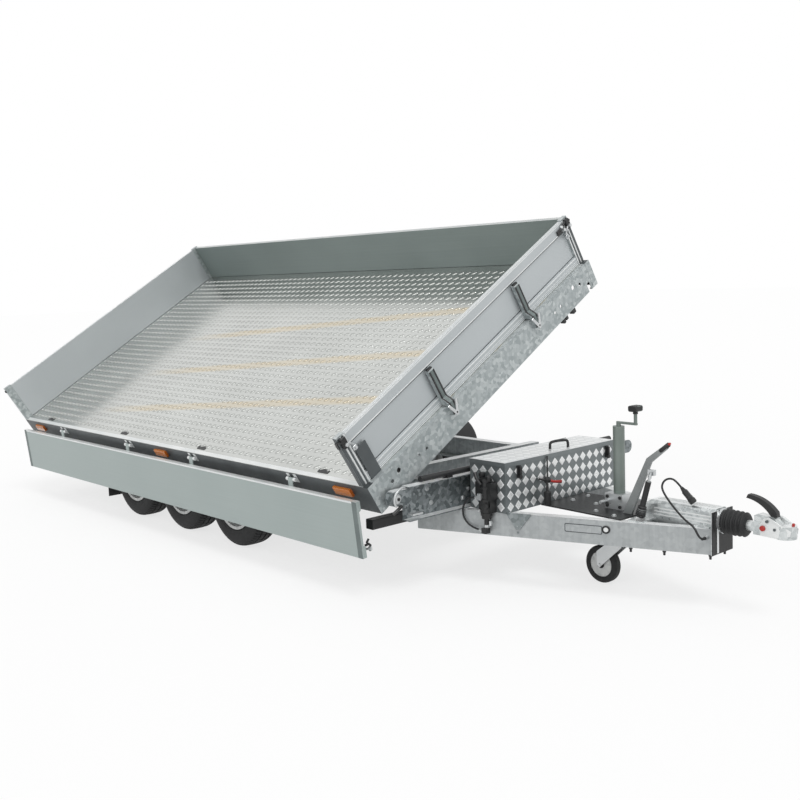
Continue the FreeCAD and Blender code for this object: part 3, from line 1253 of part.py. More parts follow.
plug_foot, plug_way = tube("plug_cable", CABLE, "cable_radius")
tube("hydraulic_hose", HOSE, "hose_radius")
plug = new_body("plug")
turned(plug, sketch_on(plug, "XZ", [("0", "0"), ("plug_neck", "0"), ("plug_neck + plug_lip", "plug_neck_long"),
                                    ("plug_radius - plug_lip", "plug_neck_long + plug_lip"),
                                    ("plug_radius - plug_lip", "plug_long - plug_neck_long"),
                                    ("plug_radius", "plug_long - plug_neck_long"), ("plug_radius", "plug_long"),
                                    ("0", "plug_long")]))
place(plug, str(plug_foot.x), str(plug_foot.y), str(plug_foot.z),
      FreeCAD.Rotation(FreeCAD.Vector(0, 0, 1), plug_way))

doc.recompute()
for item in doc.Objects:
    assert not {"Invalid", "Error"} & set(item.State), f"{item.Label}: {item.State}"
for item in pieces:
    assert not item.Shape.isNull() and item.Shape.isValid(), item.Label

os.makedirs("parts", exist_ok=True)
for item in pieces:
    item.Shape.exportStep(f"parts/{item.Label}.step")
print(len(pieces), "sub-parts")
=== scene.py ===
# %% [markdown]
# # A three-axle tipping trailer
# The trailer comes as a solid model whose parts already stand in place. This lesson gives it metal, rubber and plastic
# finishes, and the small parts that a solid model leaves out. The first cell loads the model.

# %% Load the solid model
import json
import bpy
import numpy as np
from mathutils import Matrix

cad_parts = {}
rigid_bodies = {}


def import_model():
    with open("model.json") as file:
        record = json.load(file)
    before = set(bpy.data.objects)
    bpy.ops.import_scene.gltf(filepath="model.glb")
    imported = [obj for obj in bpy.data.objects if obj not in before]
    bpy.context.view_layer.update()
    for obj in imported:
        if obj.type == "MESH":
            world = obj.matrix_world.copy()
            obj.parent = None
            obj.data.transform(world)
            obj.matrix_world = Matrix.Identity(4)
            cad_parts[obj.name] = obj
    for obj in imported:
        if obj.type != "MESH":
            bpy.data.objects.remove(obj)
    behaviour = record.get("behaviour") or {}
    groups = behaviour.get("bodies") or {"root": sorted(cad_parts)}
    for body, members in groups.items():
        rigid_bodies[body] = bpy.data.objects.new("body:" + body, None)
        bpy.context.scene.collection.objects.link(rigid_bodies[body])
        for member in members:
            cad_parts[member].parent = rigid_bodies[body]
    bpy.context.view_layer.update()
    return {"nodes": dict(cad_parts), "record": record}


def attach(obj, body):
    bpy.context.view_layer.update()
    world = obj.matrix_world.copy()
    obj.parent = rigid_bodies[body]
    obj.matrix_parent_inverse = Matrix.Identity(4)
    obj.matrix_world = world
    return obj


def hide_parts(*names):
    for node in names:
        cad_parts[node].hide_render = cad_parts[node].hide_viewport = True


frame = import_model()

# %% [markdown]
# Every length below is in millimetres, read as one would measure the trailer: x ahead of the middle axle, y to the
# left, z above the ground. The bed is tipped, so its pieces are drawn in the bed's own directions: x ahead, u across
# from the low edge, w up from the floor. One function for each turns such numbers into the scene's metres.

# %% Places on the trailer
MILLIMETRE = 0.001
MIDDLE_AXLE = np.array([-3.8, 0.0, -0.44])
TIP = np.radians(31.49)
BED_CORNER = MIDDLE_AXLE + (0.0, -1.0848, 0.6239)
BOARD_FALL = np.radians(155.2)
HINGE_ACROSS, HINGE_UP = -40.0, -35.0
AHEAD, RIGHT, UP = (1, 0, 0), (0, -1, 0), (0, 0, 1)


def on_ground(points):
    """Trailer millimetres (x, y, z) to scene metres: scaled, and moved to the middle axle."""
    return np.asarray(points, float) * MILLIMETRE + MIDDLE_AXLE


def on_bed(points):
    """Bed millimetres (x, u, w) to scene metres: u and w turned by the tipping angle about the bed's low edge."""
    x, across, up = np.moveaxis(np.asarray(points, float) * MILLIMETRE, -1, 0)
    turned_y = across * np.cos(TIP) - up * np.sin(TIP)
    turned_z = across * np.sin(TIP) + up * np.cos(TIP)
    return np.stack([x, turned_y, turned_z], axis=-1) + BED_CORNER


def on_low_board(points):
    """As on the bed, for the board that is let down: first turned about its hinge line by the angle it fell."""
    x, across, up = np.moveaxis(np.asarray(points, float), -1, 0)
    out, rise = across - HINGE_ACROSS, up - HINGE_UP
    fallen_out = out * np.cos(BOARD_FALL) + rise * np.sin(-BOARD_FALL) + HINGE_ACROSS
    fallen_up = out * np.sin(BOARD_FALL) + rise * np.cos(BOARD_FALL) + HINGE_UP
    return on_bed(np.stack([x, fallen_out, fallen_up], axis=-1))


def frame_of(axis):
    """Two directions square to an axis and the axis itself, such that first x second = axis."""
    axis = np.asarray(axis, float) / np.linalg.norm(axis)
    first = np.cross(UP if abs(axis[2]) < 0.9 else AHEAD, axis)
    first = first / np.linalg.norm(first)
    return first, np.cross(axis, first), axis


def stand(name, data):
    """An object made from its data and put into the scene, at the origin."""
    made = bpy.data.objects.new(name, data)
    bpy.context.scene.collection.objects.link(made)
    return made


print("bed corner in metres:", BED_CORNER.round(3))

# %% [markdown]
# The camera stands ahead and to the right of the trailer, at eye height. Its place came from matching the trailer's
# corners to their places in the picture, and a small shift keeps the picture's frame without turning it.

# %% Camera
EYE = (2.2462, -4.3359, 1.2159)
HEADING, LOOK_DOWN, LEAN = 0.8387, 0.0978, -0.0342
ahead = np.array([-np.sin(HEADING) * np.cos(LOOK_DOWN), np.cos(HEADING) * np.cos(LOOK_DOWN), -np.sin(LOOK_DOWN)])
level = np.array([np.cos(HEADING), np.sin(HEADING), 0.0])
upright = np.cross(level, ahead)
camera_right = np.cos(LEAN) * level + np.sin(LEAN) * upright
camera_up = np.cos(LEAN) * upright - np.sin(LEAN) * level

camera_data = bpy.data.cameras.new("camera")
camera_data.sensor_width, camera_data.lens = 36.0, 46.326
camera_data.shift_x, camera_data.shift_y = 0.0008, -0.0301
camera_data.dof.use_dof = False
camera = stand("camera", camera_data)
turn = np.stack([camera_right, camera_up, -ahead], axis=1)
camera.matrix_world = Matrix.Translation(EYE) @ Matrix(turn.tolist()).to_4x4()
bpy.context.scene.camera = camera
print("camera at", EYE)

# %% [markdown]
# Colours are written as the hex values that one reads from a picture. The shader wants linear light, so one function
# turns them. A second small function adds a node to a material with its settings and its links in one line.

# %% Colours and nodes


def colour(code):
    """sRGB hex to linear light: below 0.04045 divided by 12.92, above it ((c + 0.055) / 1.055) to the power 2.4."""
    parts = np.array([int(code[i:i + 2], 16) for i in (1, 3, 5)]) / 255.0
    light = np.where(parts <= 0.04045, parts / 12.92, ((parts + 0.055) / 1.055) ** 2.4)
    return (*light.tolist(), 1.0)


def join(tree, node, inputs):
    """Fills sockets: a node gives its first output, a socket is linked as it is, and anything else is a value."""
    for name, value in inputs.items():
        source = value.outputs[0] if isinstance(value, bpy.types.Node) else value
        if isinstance(source, bpy.types.NodeSocket):
            tree.links.new(source, node.inputs[name])
        else:
            node.inputs[name].default_value = source


def add(tree, kind, inputs=(), **settings):
    """Adds a node: settings are its own, and inputs are what its sockets are filled with."""
    node = tree.nodes.new("ShaderNode" + kind)
    for name, value in settings.items():
        setattr(node, name, value)
    join(tree, node, dict(inputs))
    return node


def new_finish(name, **shader):
    """A material with its node tree, its shader and the object's own coordinates."""
    made = bpy.data.materials.new(name)
    made.use_nodes = True
    tree = made.node_tree
    tree.nodes.clear()
    surface = add(tree, "BsdfPrincipled", shader)
    add(tree, "OutputMaterial", {"Surface": surface})
    return made, tree, surface, add(tree, "TexCoord").outputs["Object"]


print("mid grey in linear light:", round(colour("#808080")[0], 3))

# %% [markdown]
# The trailer stands in a plain studio: a pale floor that takes its soft shadow, a white surround, one broad soft sun
# from above the camera's left and a weaker one from the right. The surround is white where the camera, a mirror or
# glass sees it, and gives a plainer light to everything else, so that a colour shows about as it is written.

# %% Studio
LIGHT_OF_SURROUND = 0.66
WHITE_ON_FLOOR = 0.72
SUNS = ((1.05, (2.6, -1.2, 4.5), 22.0), (0.42, (0.6, -4.0, 2.6), 35.0))
FLOOR_REACH = 60.0
WHITE = (1, 1, 1, 1)

world = bpy.data.worlds.new("studio")
bpy.context.scene.world = world
world.use_nodes = True
world.node_tree.nodes.clear()


def white_where_seen(tree, plain, white, share):
    """Mixes a share of plain white in where the camera, a mirror or glass looks, and leaves the light plain."""
    path = add(tree, "LightPath")
    camera, mirror, glass = (path.outputs[f"Is {ray} Ray"] for ray in ("Camera", "Glossy", "Transmission"))
    camera_or_mirror = add(tree, "Math", {0: camera, 1: mirror}, operation="MAXIMUM")
    or_glass = add(tree, "Math", {0: camera_or_mirror, 1: glass}, operation="MAXIMUM")
    weight = add(tree, "Math", {0: or_glass, 1: share}, operation="MULTIPLY")
    return add(tree, "MixShader", {0: weight, 1: plain, 2: white})


seen, lighting = (add(world.node_tree, "Background", {"Color": WHITE, "Strength": strength})
                  for strength in (1.0, LIGHT_OF_SURROUND))
chosen = white_where_seen(world.node_tree, lighting, seen, 1.0)
add(world.node_tree, "OutputWorld", {"Surface": chosen})

for number, (strength, direction, spread) in enumerate(SUNS):
    lamp_data = bpy.data.lights.new(f"sun_{number}", "SUN")
    lamp_data.energy, lamp_data.angle = strength, np.radians(spread)
    lamp = stand(f"sun_{number}", lamp_data)
    lamp.matrix_world = Matrix(np.stack(frame_of(direction), axis=1).tolist()).to_4x4()

floor_finish, floor_tree, floor_shader, _ = new_finish(
    "matt_studio_paper", **{"Base Color": colour("#fafafa"), "Roughness": 0.9, "Specular IOR Level": 0.0})
floor_white = add(floor_tree, "Emission", {"Color": WHITE, "Strength": 1.0})
floor_output = next(node for node in floor_tree.nodes if node.type == "OUTPUT_MATERIAL")
floor_seen = white_where_seen(floor_tree, floor_shader, floor_white, WHITE_ON_FLOOR)
join(floor_tree, floor_output, {"Surface": floor_seen})
floor_mesh = bpy.data.meshes.new("floor")
floor_mesh.from_pydata([(x * FLOOR_REACH, y * FLOOR_REACH, float(MIDDLE_AXLE[2])) for x, y in
                        ((-1, -1), (1, -1), (1, 1), (-1, 1))], [], [(0, 1, 2, 3)])
floor_mesh.materials.append(floor_finish)
stand("floor", floor_mesh)
bpy.context.scene.view_settings.view_transform = "Standard"
print("studio with", len(SUNS), "suns")

# %% [markdown]
# Zinc from the bath dries to a dull silver with pale and dark flakes and faint runs down the steel. A cell noise gives
# the flakes and a stretched noise the runs. Real flakes are about 10 mm, finer than a pixel here, so they are drawn at
# 20 mm. Where a face looks up, its colour turns towards a pale lit-top colour: painted light on the faces that look up.

# %% Zinc finishes
FLAKE = 0.020
RUN_LENGTH, RUN_WIDTH = 0.30, 0.018


def zinc(name, dark, middle, pale, metallic, roughness, lit_top="#e9ebeb", lit_top_share=0.85, flake_share=0.62):
    """Dipped zinc: flakes from a cell noise, runs from a stretched noise, both mixed into one colour ramp."""
    made, tree, shader, place = new_finish(name, Metallic=metallic, Roughness=roughness)
    flakes = add(tree, "TexVoronoi", {"Vector": place, "Scale": 1.0 / FLAKE})
    stretched = add(tree, "Mapping", {"Vector": place, "Scale": (1 / RUN_WIDTH, 1 / RUN_WIDTH, 1 / RUN_LENGTH)})
    runs = add(tree, "TexNoise", {"Vector": stretched, "Scale": 1.0, "Detail": 3.0})
    blend = add(tree, "Mix", {0: flake_share, 2: flakes.outputs["Color"], 3: runs.outputs["Fac"]})
    tint = add(tree, "ValToRGB", {"Fac": blend})
    stops = tint.color_ramp.elements
    stops[0].color, stops[0].position, stops[1].color, stops[1].position = colour(dark), 0.25, colour(pale), 0.8
    stops.new(0.5).color = colour(middle)
    # Faces that look up are mixed towards the lit-top colour: painted light on their tops.
    facing = add(tree, "SeparateXYZ", {0: add(tree, "NewGeometry").outputs["Normal"]})
    painted_top_light = add(tree, "MapRange", {"Value": facing.outputs["Z"], 1: 0.8, 2: 1.0, 3: 0.0, 4: lit_top_share})
    shaded = add(tree, "Mix", {0: painted_top_light, 6: tint, 7: colour(lit_top)}, data_type="RGBA")
    gloss = add(tree, "MapRange", {"Value": flakes.outputs["Distance"], 3: roughness - 0.06, 4: roughness + 0.12})
    relief = add(tree, "Bump", {"Height": runs.outputs["Fac"], "Strength": 0.15, "Distance": 0.002})
    join(tree, shader, {"Base Color": shaded.outputs[2], "Roughness": gloss, "Normal": relief})
    return made


# The bolster and the beams turn almost white where a face looks up: painted light on their tops.
finishes = {
    "galvanised": zinc("dipped_zinc", "#8b9193", "#9da3a5", "#b4b9ba", 0.55, 0.4),
    "frame_zinc": zinc("dipped_zinc_plate", "#98a0a1", "#a8afb0", "#c0c6c6", 0.5, 0.42, flake_share=0.3),
    "bolster_zinc": zinc("dipped_zinc_bolster", "#5c6365", "#777e80", "#989ea0", 0.5, 0.42, "#f0f1f1", 0.95, 0.12),
    "dull_zinc": zinc("dipped_zinc_gusset", "#737a7b", "#838a8b", "#949a9b", 0.45, 0.45, flake_share=0.2),
    "beam_zinc": zinc("dipped_zinc_beam", "#9ea2a3", "#a8acad", "#b4b8b8", 0.5, 0.42, "#f2f3f3", 0.95),
    "zinc": zinc("bright_zinc_casting", "#b4b9ba", "#c3c8c8", "#d6dada", 0.7, 0.3, flake_share=0.12),
    "rim": zinc("silver_wheel_enamel", "#a9abab", "#bcbebd", "#cdcecc", 0.35, 0.38),
}
print("zinc finishes:", sorted(finishes))

# %% [markdown]
# The boards are pressed aluminium profiles with a clear anodised skin: an even, slightly green grey whose sheen runs
# along the profile, because the die leaves fine lines. A noise stretched along x gives them to colour and gloss.

# %% Board aluminium
DIE_LINE = 0.004


def aluminium(name, dark, pale, metallic, low_gloss, high_gloss, line_stretch):
    """Extruded aluminium: a noise stretched along x, mixed between two greys and two values of roughness."""
    made, tree, shader, place = new_finish(name, Metallic=metallic)
    along = add(tree, "Mapping", {"Vector": place, "Scale": (1 / line_stretch, 1 / DIE_LINE, 1 / DIE_LINE)})
    lines = add(tree, "TexNoise", {"Vector": along, "Scale": 1.0, "Detail": 2.0})
    clouds = add(tree, "TexNoise", {"Vector": place, "Scale": 2.2, "Detail": 2.0})
    both = add(tree, "Mix", {0: 0.5, 2: lines.outputs["Fac"], 3: clouds.outputs["Fac"]})
    tint = add(tree, "ValToRGB", {"Fac": both})
    stops = tint.color_ramp.elements
    stops[0].color, stops[0].position, stops[1].color, stops[1].position = colour(dark), 0.3, colour(pale), 0.7
    gloss = add(tree, "MapRange", {"Value": both, 1: 0.3, 2: 0.7, 3: low_gloss, 4: high_gloss})
    join(tree, shader, {"Base Color": tint, "Roughness": gloss})
    return made


finishes.update({
    "boards": aluminium("anodised_board_aluminium", "#9aa5a3", "#a5afad", 0.35, 0.36, 0.5, 0.8),
    # The left side board's darker copy of the board aluminium is painted shade; the end boards' paler copy is painted
    # light.
    "board_painted_shade": aluminium("anodised_board_painted_shade", "#7f8a88", "#8b9694", 0.45, 0.36, 0.5, 0.8),
    "board_painted_light": aluminium("anodised_board_painted_light", "#b0b6b8", "#bdc2c4", 0.35, 0.36, 0.5, 0.8),
    "chequer_floor": aluminium("bright_floor_plate", "#c2c4c1", "#d2d4d1", 0.93, 0.12, 0.22, 0.5),
    # The box's dark plate is painted shade on its sides, and the lid's pale plate painted light on its top.
    "chequer_box": aluminium("tool_box_plate_painted_shade", "#6d7375", "#7f8586", 0.6, 0.3, 0.45, 0.3),
    "pale_plate": aluminium("tool_box_lid_painted_light", "#cfd2d2", "#dfe1e1", 0.5, 0.3, 0.42, 0.3),
    # The floor's bars are darker than the plate: painted shade standing in for the dark reflection on their sides.
    "raised_floor": aluminium("floor_bars_painted_shade", "#aeb0ad", "#c2c4c1", 0.8, 0.16, 0.28, 0.5),
    # The box's diamonds are drawn far paler than the plate under them.
    "raised_box": aluminium("pale_box_diamonds", "#e2e4e4", "#f0f1f1", 0.5, 0.24, 0.4, 0.3),
})

BAND_GAP, BAND_HALF, FIRST_BAND, BAND_SLANT = 0.453, 0.045, 0.38, 0.155


def add_bands(finish, tone, share):
    """Faint warm bands along the floor: the distance u - slant * x repeats over a gap, and near it is 1."""
    tree = finish.node_tree
    shader = next(node for node in tree.nodes if node.type == "BSDF_PRINCIPLED")
    plain = shader.inputs["Base Color"].links[0].from_socket
    place = add(tree, "TexCoord").outputs["Object"]
    across = np.array([-BAND_SLANT, np.cos(TIP), np.sin(TIP)])
    dot = add(tree, "VectorMath", {0: place, 1: tuple(across)}, operation="DOT_PRODUCT")
    start = float(across @ BED_CORNER) + FIRST_BAND
    moved = add(tree, "Math", {0: dot.outputs["Value"], 1: start}, operation="SUBTRACT")
    folded = add(tree, "Math", {0: moved, 1: BAND_GAP / 2}, operation="PINGPONG")
    near = add(tree, "MapRange", {"Value": folded, 1: BAND_HALF * 0.5, 2: BAND_HALF, 3: 1.0, 4: 0.0})
    middle = add(tree, "Math", {0: moved, 1: BAND_GAP}, operation="SUBTRACT")
    from_middle = add(tree, "Math", {0: middle}, operation="ABSOLUTE")
    inside = add(tree, "Math", {0: from_middle, 1: 1.4 * BAND_GAP}, operation="LESS_THAN")
    ends = add(tree, "MapRange", {"Value": add(tree, "SeparateXYZ", {0: place}).outputs["X"],
                                  1: -4.9, 2: -4.3, 3: 0.0, 4: share})
    kept = add(tree, "Math", {0: near, 1: inside}, operation="MULTIPLY")
    weight = add(tree, "Math", {0: kept, 1: ends}, operation="MULTIPLY")
    mixed = add(tree, "Mix", {0: weight, 6: plain, 7: colour(tone)}, data_type="RGBA")
    join(tree, shader, {"Base Color": mixed.outputs[2]})


add_bands(finishes["chequer_floor"], "#d9c59c", 0.42)
add_bands(finishes["raised_floor"], "#cdb68a", 0.42)
print("finishes with the aluminium ones:", len(finishes))

# %% [markdown]
# Rubber, moulded plastic and enamelled steel are all black, but the eye tells them apart by their gloss: rubber is
# dusty and dull, plastic has a fine grain with a soft shine, and enamel shines smoothly. A speckle lifts the colour a
# little where dust lies.

# %% Black and coloured finishes
SPECKLE = 0.012


def coated(name, base, dust, metallic, roughness, grain_depth, coat=0.0):
    """A plain coating: a speckle mixes the base with its dusty tone, and a fine grain gives relief."""
    made, tree, shader, place = new_finish(name, **{"Metallic": metallic, "Coat Weight": coat, "Coat Roughness": 0.2})
    dusty = add(tree, "TexNoise", {"Vector": place, "Scale": 6.0, "Detail": 5.0})
    grain = add(tree, "TexNoise", {"Vector": place, "Scale": 1.0 / SPECKLE, "Detail": 2.0})
    share = add(tree, "MapRange", {"Value": dusty.outputs["Fac"], 1: 0.4, 2: 0.75})
    tint = add(tree, "Mix", {0: share, 6: colour(base), 7: colour(dust)}, data_type="RGBA")
    gloss = add(tree, "MapRange", {"Value": grain.outputs["Fac"], 3: roughness - 0.08, 4: roughness + 0.1})
    relief = add(tree, "Bump", {"Height": grain.outputs["Fac"], "Strength": 0.2, "Distance": grain_depth})
    join(tree, shader, {"Base Color": tint.outputs[2], "Roughness": gloss, "Normal": relief})
    return made


finishes.update({
    "tyre": coated("tyre_rubber", "#131415", "#202122", 0.0, 0.7, 0.001),
    "rubber": coated("moulded_rubber", "#1a1b1c", "#262728", 0.0, 0.6, 0.0006),
    "black_plastic": coated("grained_polypropylene", "#191a1b", "#242526", 0.0, 0.5, 0.0008),
    # Besides black steel parts, this finish draws the painted shade on the outriggers and the painted shadow at the pin
    # keeper.
    "black_steel": coated("black_enamel_steel", "#161718", "#222324", 0.0, 0.45, 0.0002, coat=0.1),
    "pump_black": coated("black_enamel_casting", "#111213", "#1e1f1f", 0.0, 0.45, 0.001, coat=0.1),
    "lever_grey": coated("grey_enamel_steel", "#7f8383", "#8f9393", 0.2, 0.4, 0.0002),
    "chrome": coated("hard_chrome", "#c9cacb", "#bfc0c0", 1.0, 0.12, 0.0001),
    "jockey_green": coated("grey_green_enamel", "#6d7772", "#7d8681", 0.2, 0.4, 0.0002),
    "bright_steel": coated("bright_zinc_steel", "#c3c6c7", "#d5d7d7", 0.75, 0.3, 0.0002),
    # Besides dark plates, this finish draws the painted shade lines on the front board and the posts.
    "dark_plate": coated("dark_enamel_plate", "#4d5254", "#5b6062", 0.2, 0.45, 0.0002),
    # The side rails' darker zinc is painted shade on their faces.
    "rail_painted_shade": coated("zinc_rail_painted_shade", "#414648", "#54595b", 0.3, 0.42, 0.0003),
    "end_profile": coated("grey_end_profile", "#66706f", "#727c7b", 0.3, 0.42, 0.0002),
    # Besides pale trim, this finish draws the painted highlights on the boards and the posts.
    "pale_trim": coated("pale_aluminium_trim", "#d9dcdc", "#e7e8e7", 0.3, 0.35, 0.0002),
    "red_plastic": coated("red_moulded_plastic", "#a3201a", "#b52a22", 0.0, 0.35, 0.0003),
})
print("finishes so far:", len(finishes))

# %% [markdown]
# A marker lamp's lens is coloured acrylic with prisms inside. It is drawn as a clear coating over a coloured body,
# with a wave for the prisms, which reads well without tracing light through it.

# %% Lens finishes
PRISM_PITCH = 0.012


def lens(name, deep, bright):
    """Coloured acrylic: a band wave across the lens mixes its deep and bright tones, under a clear coat."""
    made, tree, shader, place = new_finish(name, **{"Roughness": 0.18, "Coat Weight": 0.8, "Coat Roughness": 0.05})
    prisms = add(tree, "TexWave", {"Vector": place, "Scale": 1.0 / (20.0 * PRISM_PITCH) * 6.0, "Distortion": 0.0})
    tint = add(tree, "Mix", {0: prisms.outputs["Fac"], 6: colour(deep), 7: colour(bright)}, data_type="RGBA")
    relief = add(tree, "Bump", {"Height": prisms.outputs["Fac"], "Strength": 0.4, "Distance": 0.001})
    join(tree, shader, {"Base Color": tint.outputs[2], "Normal": relief})
    return made


finishes["amber"] = lens("amber_acrylic", "#b4560d", "#e08a2a")
finishes["red_lens"] = lens("red_acrylic", "#7d0d0c", "#b0201b")
print("lens finishes: amber and red")

# %% [markdown]
# Each solid part takes the finish that the record names for it. A few wear another one than their neighbours: the
# side rails are darker than the frames, which is painted shade; the left side board is darker and the end boards paler
# than the right side board, which is painted shade and painted light; and the jockey leg is painted a grey green.

# %% Finishes of the solid parts
SPECIAL = {
    "side_rail_left": "rail_painted_shade", "side_rail_right": "rail_painted_shade", "jockey_leg": "jockey_green",
    "jockey_clamp": "bright_steel", "jockey_fork": "bright_steel", "side_board_left": "board_painted_shade",
    "rear_board": "board_painted_light", "front_board": "board_painted_light", "front_frame": "frame_zinc",
    "front_bolster": "bolster_zinc", "board_posts": "frame_zinc", "drawbar_beam_left": "beam_zinc",
    "drawbar_beam_right": "beam_zinc", "plug": "pump_black",
}
slots = {entry["node"]: entry["material_slot"] for entry in frame["record"]["subparts"]}
for name, node in frame["nodes"].items():
    wanted = finishes[SPECIAL.get(name, slots.get(name, "galvanised"))]
    node.data.materials.clear()
    node.data.materials.append(wanted)
print("solid parts finished:", len(frame["nodes"]))

# %% [markdown]
# New pieces are surfaces worked out on grids of points. `walls` turns a grid into faces: rows run along the piece and
# columns round it, so every ring carried along a line comes from the same few lines of code.

# %% Shapes from grids


def walls(grid, joined=False):
    """Closed shape from rings of points: faces join ring to ring, and the ends get a face each or join each other."""
    number = np.arange(grid.shape[0] * grid.shape[1]).reshape(grid.shape[:2])
    rows = np.vstack([number, number[:1]]) if joined else number
    nxt = np.roll(rows, -1, axis=1)
    sides = np.stack([rows[:-1], nxt[:-1], nxt[1:], rows[1:]], axis=-1).reshape(-1, 4)
    ends = [] if joined else [number[0, ::-1].tolist(), number[-1].tolist()]
    return grid.reshape(-1, 3), sides.tolist() + ends


def flipped(shape):
    """The same shape with its faces turned over, for one that a mirror turned inside out."""
    points, faces = shape
    return points, [face[::-1] for face in faces]


def turned(profile, start, axis, sides=24):
    """A turned shape: each (distance, radius) of the profile is a ring round the axis, at start + distance * axis."""
    first, second, along = frame_of(axis)
    angle = np.arange(sides) * 2 * np.pi / sides
    ring = np.cos(angle)[:, None] * first + np.sin(angle)[:, None] * second
    distance, radius = np.asarray(profile, float).T
    grid = np.asarray(start, float) + distance[:, None, None] * along + radius[:, None, None] * ring
    return walls(grid)


def stub(radius, length, tip, tip_radius, start, axis, sides, back=0):
    """A short round or many-sided bar: straight from back to length, then narrower at its tip."""
    return turned([(back, radius), (length, radius), (tip, tip_radius)], start, axis, sides)


FLAT, END, SIDE = (0, 1, 2), (1, 2, 0), (0, 2, 1)


def slab(outline, low, high, axes, chamfer=1.5):
    """A plate: a counterclockwise outline on two axes, drawn from low to high on the third, with chamfered edges."""
    outline = np.asarray(outline, float)
    middle = outline.mean(axis=0)
    reach = np.abs(outline - middle).max(axis=0)
    inset = middle + (outline - middle) * (1 - chamfer / np.maximum(reach, chamfer * 1.5))
    rings = [(inset, low), (outline, low + chamfer), (outline, high - chamfer), (inset, high)]
    grid = np.zeros((4, len(outline), 3))
    for row, (shape, height) in enumerate(rings):
        grid[row, :, axes[0]], grid[row, :, axes[1]], grid[row, :, axes[2]] = shape[:, 0], shape[:, 1], height
    return flipped(walls(grid)) if axes == SIDE else walls(grid)


def pad(width, height, radius, centre, *slab_settings):
    """A slab whose outline is a rectangle with round corners: quarter circles about its four inner corners."""
    arcs = []
    for number, signs in enumerate(((1, 1), (-1, 1), (-1, -1), (1, -1))):
        angle = np.linspace(0, np.pi / 2, 4) + number * np.pi / 2
        hub = np.array(signs) * (width / 2 - radius, height / 2 - radius)
        arcs.append(hub + radius * np.stack([np.cos(angle), np.sin(angle)], axis=-1))
    return slab(np.concatenate(arcs) + centre, *slab_settings)


def rod(points, radius, sides=12):
    """A bent rod: a ring square to the line at every point, each turned as little as possible from the last."""
    points = np.asarray(points, float)
    step = np.gradient(points, axis=0)
    step = step / np.linalg.norm(step, axis=1)[:, None]
    first = frame_of(step[0])[0]
    angle = np.arange(sides) * 2 * np.pi / sides
    radii = np.broadcast_to(radius, len(points))
    rings = []
    for here, direction, size in zip(points, step, radii):
        first = first - direction * (first @ direction)
        first = first / np.linalg.norm(first)
        second = np.cross(direction, first)
        rings.append(here + size * (np.cos(angle)[:, None] * first + np.sin(angle)[:, None] * second))
    return walls(np.array(rings))


def eased(points, steps=6):
    """A smooth line: each inner corner becomes a quadratic curve between the middles of the lines that meet there."""
    points = np.asarray(points, float)
    middles = (points[:-1] + points[1:]) / 2
    share = np.linspace(0, 1, steps)[:, None]
    curves = [(1 - share) ** 2 * a + 2 * share * (1 - share) * corner + share ** 2 * b
              for a, corner, b in zip(middles[:-1], points[1:-1], middles[1:])]
    return np.concatenate([points[:1]] + curves + [points[-1:]])


# The way of placing follows from a piece's body, unless its call says otherwise.
PLACE_OF = {"bed": on_bed, "side_board_left": on_bed, "rear_board": on_bed, "side_board_right": on_low_board}


def piece(name, shapes, finish, body="chassis", smooth=False, place=None, instead=None):
    """One object from several shapes: their points are numbered on, placed, and handed to the body they ride on."""
    place = place or PLACE_OF.get(body, on_ground)
    points, faces, count = [], [], 0
    for shape_points, shape_faces in shapes:
        points.append(place(shape_points))
        faces += [[number + count for number in face] for face in shape_faces]
        count += len(shape_points)
    mesh = bpy.data.meshes.new(name)
    mesh.from_pydata(np.concatenate(points).tolist(), [], faces)
    mesh.polygons.foreach_set("use_smooth", np.full(len(mesh.polygons), smooth))
    mesh.materials.append(finishes[finish])
    made = stand(name, mesh)
    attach(made, body)
    if instead:
        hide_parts(instead)
    print(name, "has", len(mesh.polygons), "faces")
    return made


print("ways of placing by body:", sorted(PLACE_OF))

# %% [markdown]
# Two cords hang free on the trailer: the lamp cable, which leaves a gland in the right beam, climbs over the housing
# and ends in its plug, and the hydraulic hose that loops from the hand pump's head to the elbow at its foot. Each is
# one smooth curve with round thickness. Its control points are the points of the solid model's own route.

# %% Cords


def cord(name, route, radius, replaced):
    """A round cord: one open spline of order three through the route, given its thickness by the curve's bevel."""
    curve = bpy.data.curves.new(name, "CURVE")
    curve.dimensions = "3D"
    curve.bevel_depth = radius * MILLIMETRE
    curve.bevel_resolution = 4
    curve.use_fill_caps = True
    spline = curve.splines.new("NURBS")
    spline.points.add(len(route) - 1)
    spline.points.foreach_set("co", np.hstack([on_ground(route), np.ones((len(route), 1))]).ravel())
    spline.order_u = 3
    spline.use_endpoint_u = True
    spline.resolution_u = 12
    curve.materials.append(finishes["rubber"])
    made = stand(name, curve)
    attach(made, "chassis")
    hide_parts(replaced)
    return made


CABLE = ((3455, -104, 370), (3455, -132, 370), (3448, -151, 389), (3428, -152, 428), (3372, -143, 452),
         (3316, -130, 488), (3256, -114, 535), (3218, -101, 574), (3216.5, -94, 602), (3234, -86, 624),
         (3262, -77, 628), (3284.5, -69.5, 610.2), (3301.3, -62.8, 588.3))
HOSE = ((2391, -527, 490), (2334, -527, 490), (2283, -535, 439), (2282.5, -536, 367), (2334, -516, 316),
        (2404, -516, 316))
CORD_RADIUS = 5.0
lamp_cable = cord("lamp_cable", CABLE, CORD_RADIUS, "plug_cable")
pump_hose = cord("pump_hose", HOSE, CORD_RADIUS, "hydraulic_hose")

